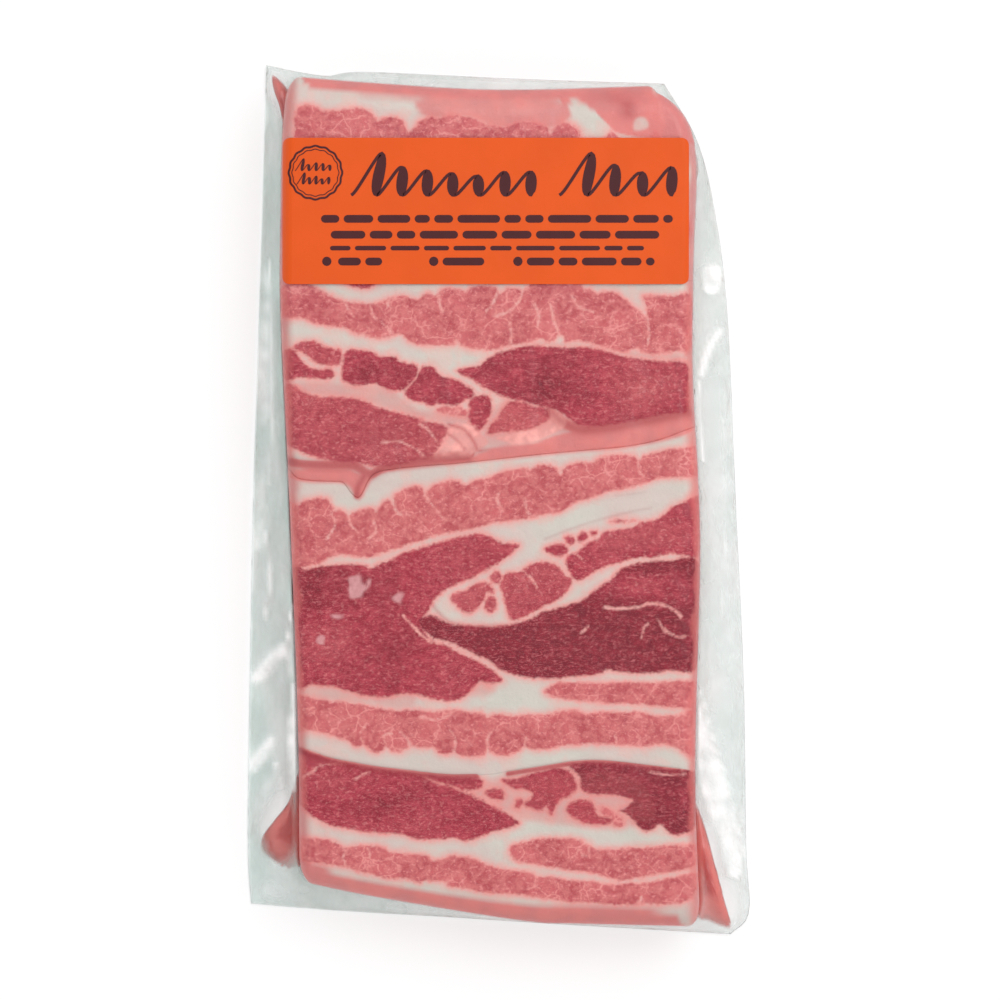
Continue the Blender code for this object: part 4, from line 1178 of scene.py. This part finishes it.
def juice_material():
    """Thin red meat juice that fades out towards its rim."""
    shader = Shader("meat_juice")
    core = shader.attribute("core")
    patchy = shader.noise(4, 3.0)
    redness = (core * (0.5 + patchy * 0.7)).rise(0.3, 0.9)
    shade = shader.mix(redness, colour(220, 112, 106), colour(186, 66, 66))
    thick = (shader.attribute("thick") * (0.75 + patchy * 0.5)).clamped()
    wet = shader.principled(Base_Color=shade, Roughness=0.2, Normal=shader.bump(patchy, 0.4))
    clear = shader.node("ShaderNodeBsdfTransparent").outputs[0]
    return shader.finished(shader.mix_shader(thick, clear, wet))


class JuiceSettings(bpy.types.PropertyGroup):
    """The gathered juice."""
    rim: FloatProperty(name="Rim", description="Share of the pool over which it fades out",
                       default=0.16, min=0.05)


class BELLY_OT_juice(bpy.types.Operator):
    """Models the small flat pools of juice in the corners of the film"""
    bl_idname = "belly.juice"
    bl_label = "Juice"

    def execute(self, context):
        material = juice_material()
        rim = context.scene.belly_juice.rim
        columns, rows = 60, 14
        for name, strength, outline in JUICES:
            curve = smooth_curve(outline, closed=True, steps=6)
            bm = bmesh.new()
            bmesh.ops.create_grid(bm, x_segments=columns, y_segments=rows, size=1)
            u = np.array([(vert.co.x + 1) / 2 for vert in bm.verts])
            v = np.array([(vert.co.y + 1) / 2 for vert in bm.verts])
            along = u * len(curve)
            ring = np.vstack((curve, curve[:1]))
            rim_x, rim_y = (np.interp(along, np.arange(len(ring)), ring[:, axis]) for axis in (0, 1))
            centre = curve.mean(0)
            reach = np.sin(math.pi * v)
            x, y = centre[0] + (rim_x - centre[0]) * reach, centre[1] + (rim_y - centre[1]) * reach
            share = outside_share(x, y)
            ceiling = np.clip(margin_height(x, y, share) - POOL_GAP, POOL_LOWEST, POOL_HEIGHT)
            rise = 0.5 - 0.5 * np.cos(math.pi * v) * np.sqrt(np.maximum(1 - reach ** 4, 0))
            z = np.clip(POOL_BASE + (ceiling - POOL_BASE) * rise, POOL_BASE, ceiling)
            for vert, co in zip(bm.verts, np.column_stack((x, y, z)) * MM):
                vert.co = co
            keys = [tuple(round(value, 4) for value in co) for co in np.column_stack((x, y, z))]
            inward = dict(zip(keys, 1 - reach))
            bmesh.ops.remove_doubles(bm, verts=bm.verts, dist=1e-6)
            bmesh.ops.recalc_face_normals(bm, faces=bm.faces)
            keys = [tuple(round(value / MM, 4) for value in vert.co) for vert in bm.verts]
            depth = np.array([inward.get(key, 0.5) for key in keys])
            looks = {"thick": strength * step(0, rim, depth), "core": step(0.2, 0.9, depth)}
            piece = mesh_object(bm, name, material, looks)
        return {"FINISHED"}


def label_height(x, y):
    """The height of the label's top face, which follows the slab down over its long edges."""
    return slab_height(x, y) + LABEL_LIFT


def sheet_material(name, shade, roughness):
    """Plain printed paper with a faint unevenness."""
    shader = Shader(name)
    uneven = shader.noise(14, 3.0)
    darker = tuple(value * 0.9 for value in shade[:3]) + (1.0,)
    return shader.finished(shader.principled(
        Base_Color=shader.mix(uneven.rise(0.35, 0.7) * 0.5, shade, darker), Roughness=roughness,
        Normal=shader.bump(shader.noise(5, 2.0), 0.12), Specular_IOR_Level=0.25))


class LabelSettings(bpy.types.PropertyGroup):
    """The adhesive label."""
    shade: FloatVectorProperty(name="Paper shade", description="Colour of the label paper", subtype="COLOR",
                               default=colour(220, 82, 8)[:3], size=3)
    ink: FloatVectorProperty(name="Ink shade", description="Colour of the print", subtype="COLOR",
                             default=colour(66, 14, 20)[:3], size=3)


class BELLY_OT_label(bpy.types.Operator):
    """Models the label sheet, bent down over both long edges"""
    bl_idname = "belly.label"
    bl_label = "Label"

    def execute(self, context):
        width, length = LABEL_RIGHT - LABEL_LEFT, LABEL_FAR - LABEL_NEAR
        across = stations(width, SIDE_ROUND, SIDE_ROUND, LABEL_SPACING)
        along = stations(length, LABEL_CORNER, LABEL_CORNER, LABEL_SPACING)
        bm = bmesh.new()
        columns, rows = len(across) - 1, len(along) - 1
        bmesh.ops.create_grid(bm, x_segments=columns, y_segments=rows, size=1)
        bmesh.ops.recalc_face_normals(bm, faces=bm.faces)
        made = bmesh.ops.extrude_face_region(bm, geom=list(bm.faces), use_keep_orig=True)["geom"]
        lower = [item for item in made if isinstance(item, bmesh.types.BMVert)]
        for vert in bm.verts:
            s, t = across[grid_line(vert.co.x, columns)], along[grid_line(vert.co.y, rows)]
            x, y = round_sheet_corner(LABEL_LEFT + width * s, LABEL_NEAR + length * t)
            vert.co = (x, y, float(label_height(x, y)))
        for vert in lower:
            vert.co.z -= LABEL_THICKNESS
        for vert in bm.verts:
            vert.co *= MM
        bmesh.ops.recalc_face_normals(bm, faces=bm.faces)
        shade = tuple(context.scene.belly_label.shade) + (1.0,)
        piece = mesh_object(bm, "label_sheet", sheet_material("label_paper", shade, 0.5), smooth=False)
        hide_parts("label")
        return {"FINISHED"}


def round_sheet_corner(x, y):
    """A place on the label, pulled in where it would be outside a rounded corner."""
    a = max(LABEL_LEFT + LABEL_CORNER - x, x - LABEL_RIGHT + LABEL_CORNER, 0) / LABEL_CORNER
    b = max(LABEL_NEAR + LABEL_CORNER - y, y - LABEL_FAR + LABEL_CORNER, 0) / LABEL_CORNER
    q = math.hypot(a, b)
    if q > 1:
        pull = LABEL_CORNER * (1 - 1 / q)
        x += math.copysign(a * pull, (LABEL_LEFT + LABEL_RIGHT) / 2 - x)
        y += math.copysign(b * pull, (LABEL_NEAR + LABEL_FAR) / 2 - y)
    return x, y


# The print, in millimetres: how thick the ink is, its gap over the paper, and its thinnest stroke.
INK_HEIGHT = 0.05
INK_GAP = 0.02
THINNEST_STROKE = 0.12

# How far a pen wave leans, and its thinnest line as a share of its thickest.
SLANT = 0.42
THIN_SHARE = 0.28


def add_ribbon(bm, points, widths):
    """A flat stroke of ink along the points, in millimetres."""
    points = np.array(points)
    ahead = np.gradient(points, axis=0)
    ahead /= np.maximum(np.linalg.norm(ahead, axis=1, keepdims=True), 1e-9)
    side = np.column_stack((-ahead[:, 1], ahead[:, 0])) * np.asarray(widths)[:, None] / 2
    made = bmesh.ops.create_grid(bm, x_segments=len(points) - 1, y_segments=1, size=1)["verts"]
    for vert in made:
        index = grid_line(vert.co.x, len(points) - 1)
        x, y = points[index] + side[index] * (1 if vert.co.y > 0 else -1)
        vert.co = (x, y, 0)


def add_dot(bm, x, y, radius):
    """A flat round dot of ink."""
    for vert in bmesh.ops.create_circle(bm, cap_ends=True, segments=12, radius=1)["verts"]:
        vert.co = (x + radius * vert.co.x, y + radius * vert.co.y, 0)


def add_bar(bm, left, right, low, high):
    """A flat bar of ink with rounded ends, standing for a word."""
    radius = (high - low) / 2
    arc = np.linspace(0, math.pi / 2, 5)
    reach = np.concatenate((radius * (1 - np.cos(arc)), (right - left) - radius * (1 - np.cos(arc[::-1]))))
    height = np.concatenate((np.sin(arc), np.sin(arc[::-1])))
    points = np.column_stack((left + reach, np.full(len(reach), (low + high) / 2)))
    add_ribbon(bm, points, np.maximum(2 * radius * height, THINNEST_STROKE))


def add_scribble(bm, left, right, base, height, humps, weight, seed):
    """A slanted pen wave with thick down-strokes and thin joins, tall at its start. It spells nothing."""
    random = np.random.default_rng(seed)
    t = np.linspace(0, humps, humps * 20 + 1)
    peaks = np.append(random.uniform(0.75, 1.25, humps), 1.0)
    peaks[0] = 1.75
    tall = np.interp(t, np.arange(humps + 1) + 0.5, peaks)
    y = base + height * 0.5 * (1 - np.cos(2 * math.pi * t)) * tall
    advance = (right - left - height * 0.4) / humps
    x = left + advance * t + SLANT * (y - base)
    widths = weight * (THIN_SHARE + (1 - THIN_SHARE) * np.clip(-np.sin(2 * math.pi * t), 0, 1))
    add_ribbon(bm, np.column_stack((x, y)), widths)


# The round seal: its centre, then each ring's radius and width.
SEAL_CENTRE = (-45.4, 80.5)
SEAL_RINGS = ((6.5, 0.5), (5.7, 0.22))

# The pen waves: left, right, base, height, number of humps, weight and seed.
SCRIBBLES = (
    (-50.4, -41, 81, 1.7, 5, 0.75, 3), (-50, -41.4, 77.7, 1.6, 5, 0.75, 4),
    (-36.6, 10.4, 75, 5.9, 7, 2.8, 5), (14.6, 45, 75, 5.9, 4, 2.8, 8))

# The rows of bars: left, right, low and high. A few of the bars have a dot before them.
PRINT_ROWS = (
    (-44, 42.5, 68.1, 70.2), (-41.6, 40, 64.2, 66.3), (-41.8, 35.4, 61.3, 62.6), (-39.8, 38, 57.6, 59.7))
PRINT_DOTS = ((-42.6, 58.7), (-16.3, 58.7), (4.4, 58.7))
DOT_RADIUS = 1.15
DOT_ROOM = 1.6
DOT_STEP = 2.2
BAR_LENGTHS = (3.5, 11)
BAR_GAP = 1.1
SHORTEST_BAR = 1.5


class BELLY_OT_print(bpy.types.Operator):
    """Prints a generic seal, a line of scribble and rows of bars on the label"""
    bl_idname = "belly.print"
    bl_label = "Label print"

    def execute(self, context):
        bm = bmesh.new()
        turn = np.linspace(0, 2 * math.pi, 97)
        for radius, width in SEAL_RINGS:
            wave = radius * (1 + 0.02 * np.cos(16 * turn))
            points = SEAL_CENTRE + np.column_stack((wave * np.cos(turn), wave * np.sin(turn)))
            add_ribbon(bm, points, np.full(len(turn), width))
        for scribble in SCRIBBLES:
            add_scribble(bm, *scribble)
        random = np.random.default_rng(11)
        for left, right, low, high in PRINT_ROWS:
            x = left
            while x < right - SHORTEST_BAR:
                bar = min(random.uniform(*BAR_LENGTHS), right - x)
                dots = [dot for dot, row in PRINT_DOTS
                        if low < row < high and x - DOT_ROOM < dot < x + bar + DOT_ROOM]
                if dots:
                    x = dots[0] + DOT_STEP
                    bar = min(bar, right - x)
                add_bar(bm, x, x + bar, low + 0.1, high - 0.1)
                x += bar + BAR_GAP
        for x, y in PRINT_DOTS:
            add_dot(bm, x, y, DOT_RADIUS)
        made = bmesh.ops.extrude_face_region(bm, geom=list(bm.faces), use_keep_orig=True)["geom"]
        raised = {item for item in made if isinstance(item, bmesh.types.BMVert)}
        for vert in bm.verts:
            x, y = vert.co.x, vert.co.y
            lift = INK_HEIGHT + INK_GAP if vert in raised else INK_GAP
            vert.co = Vector((x, y, float(label_height(x, y)) + lift)) * MM
        bmesh.ops.recalc_face_normals(bm, faces=bm.faces)
        shade = tuple(context.scene.belly_label.ink) + (1.0,)
        piece = mesh_object(bm, "label_print", sheet_material("label_ink", shade, 0.45), smooth=False)
        return {"FINISHED"}


def stage_material(name, strength):
    """White paper that looks plain white to the camera and still takes a soft shadow."""
    shader = Shader(name)
    paper = shader.principled(Base_Color=(0.9, 0.9, 0.9, 1.0), Roughness=1.0, Specular_IOR_Level=0.0)
    glow = shader.node("ShaderNodeEmission", inputs={"Color": (1, 1, 1, 1), "Strength": strength}).outputs[0]
    return shader.finished(shader.mix_shader(shader.seen_directly() * 0.5, paper, glow))


def stage_world(name, strength):
    """An even white light that looks plain white where it's seen."""
    shader = Shader(name, world=True)
    light = shader.node("ShaderNodeBackground", inputs={
        "Color": (1, 1, 1, 1), "Strength": shader.seen_directly() * (1 - strength) + strength})
    shader.node("ShaderNodeOutputWorld", inputs={"Surface": light.outputs[0]})
    return shader.material


# The share of the pack's height at which the camera sees its view width.
SIZED_AT = 0.9


class StageSettings(bpy.types.PropertyGroup):
    """The studio round the pack."""
    world_light: FloatProperty(
        name="World light", description="Strength of the even white light", default=0.86, min=0)
    lamp_power: FloatProperty(
        name="Lamp power", description="Power of the large soft lamp", default=4.1, unit="POWER")
    lamp_size: FloatProperty(
        name="Lamp size", description="Width of the soft lamp", default=0.7, unit="LENGTH")
    lamp_place: FloatVectorProperty(
        name="Lamp place", description="Where the soft lamp hangs", default=(0.38, 0.36, 0.92),
        size=3, subtype="TRANSLATION")
    camera_height: FloatProperty(
        name="Camera height", description="Height of the camera over the table", default=1.6, unit="LENGTH")
    view_width: FloatProperty(
        name="View width", description="Width of table that the camera sees", default=0.2463, unit="LENGTH")
    floor_size: FloatProperty(
        name="Floor size", description="Width of the white floor", default=6.0, unit="LENGTH")
    floor_glow: FloatProperty(
        name="Floor glow", description="How much light the floor adds for the camera", default=1.1, min=0)


class BELLY_OT_stage(bpy.types.Operator):
    """Sets up the white floor, the soft light and the camera that looks straight down"""
    bl_idname = "belly.stage"
    bl_label = "Stage"

    def execute(self, context):
        scene, settings = context.scene, context.scene.belly_stage
        scene.view_settings.view_transform = "Standard"
        bm = bmesh.new()
        bmesh.ops.create_grid(bm, x_segments=1, y_segments=1, size=settings.floor_size / 2)
        mesh = bpy.data.meshes.new("floor")
        bm.to_mesh(mesh)
        bm.free()
        mesh.materials.append(stage_material("white_paper", settings.floor_glow))
        floor = bpy.data.objects.new("floor", mesh)
        scene.collection.objects.link(floor)
        scene.world = stage_world("soft_white", settings.world_light)
        lamp = bpy.data.lights.new("soft_lamp", "AREA")
        lamp.energy, lamp.size = settings.lamp_power, settings.lamp_size
        lamp_object = bpy.data.objects.new("soft_lamp", lamp)
        lamp_object.location = settings.lamp_place
        lamp_object.rotation_euler = (-Vector(settings.lamp_place)).to_track_quat("-Z", "Y").to_euler()
        scene.collection.objects.link(lamp_object)
        camera = bpy.data.cameras.new("camera")
        camera.sensor_width = 36.0
        distance = settings.camera_height - CAD_BOX[1].z * SIZED_AT
        camera.lens = camera.sensor_width * distance / settings.view_width
        camera.clip_end = 20
        camera_object = bpy.data.objects.new("camera", camera)
        camera_object.location = (0, 0, settings.camera_height)
        scene.collection.objects.link(camera_object)
        scene.camera = camera_object
        return {"FINISHED"}


class BELLY_PT_panel(bpy.types.Panel):
    """Lists the steps that build the pack"""
    bl_label = "Belly pack"
    bl_idname = "BELLY_PT_panel"
    bl_space_type = "VIEW_3D"
    bl_region_type = "UI"
    bl_category = "Belly pack"

    def draw(self, context):
        for operator in OPERATORS:
            self.layout.operator(operator.bl_idname)
        for settings, kind in SETTINGS:
            group = getattr(context.scene, settings)
            for name in kind.__annotations__:
                self.layout.prop(group, name)


OPERATORS = (BELLY_OT_strips, BELLY_OT_juice, BELLY_OT_film, BELLY_OT_label, BELLY_OT_print, BELLY_OT_stage)
SETTINGS = (("belly_strips", StripSettings), ("belly_juice", JuiceSettings), ("belly_film", FilmSettings),
            ("belly_label", LabelSettings), ("belly_stage", StageSettings))


def register():
    for name, group in SETTINGS:
        bpy.utils.register_class(group)
        setattr(bpy.types.Scene, name, PointerProperty(type=group))
    for cls in OPERATORS + (BELLY_PT_panel,):
        bpy.utils.register_class(cls)


def unregister():
    for cls in (BELLY_PT_panel,) + OPERATORS[::-1]:
        bpy.utils.unregister_class(cls)
    for name, group in SETTINGS[::-1]:
        delattr(bpy.types.Scene, name)
        bpy.utils.unregister_class(group)


def main():
    register()
    for operator in OPERATORS:
        getattr(bpy.ops.belly, operator.bl_idname.split(".")[1])()


if __name__ == "__main__":
    main()
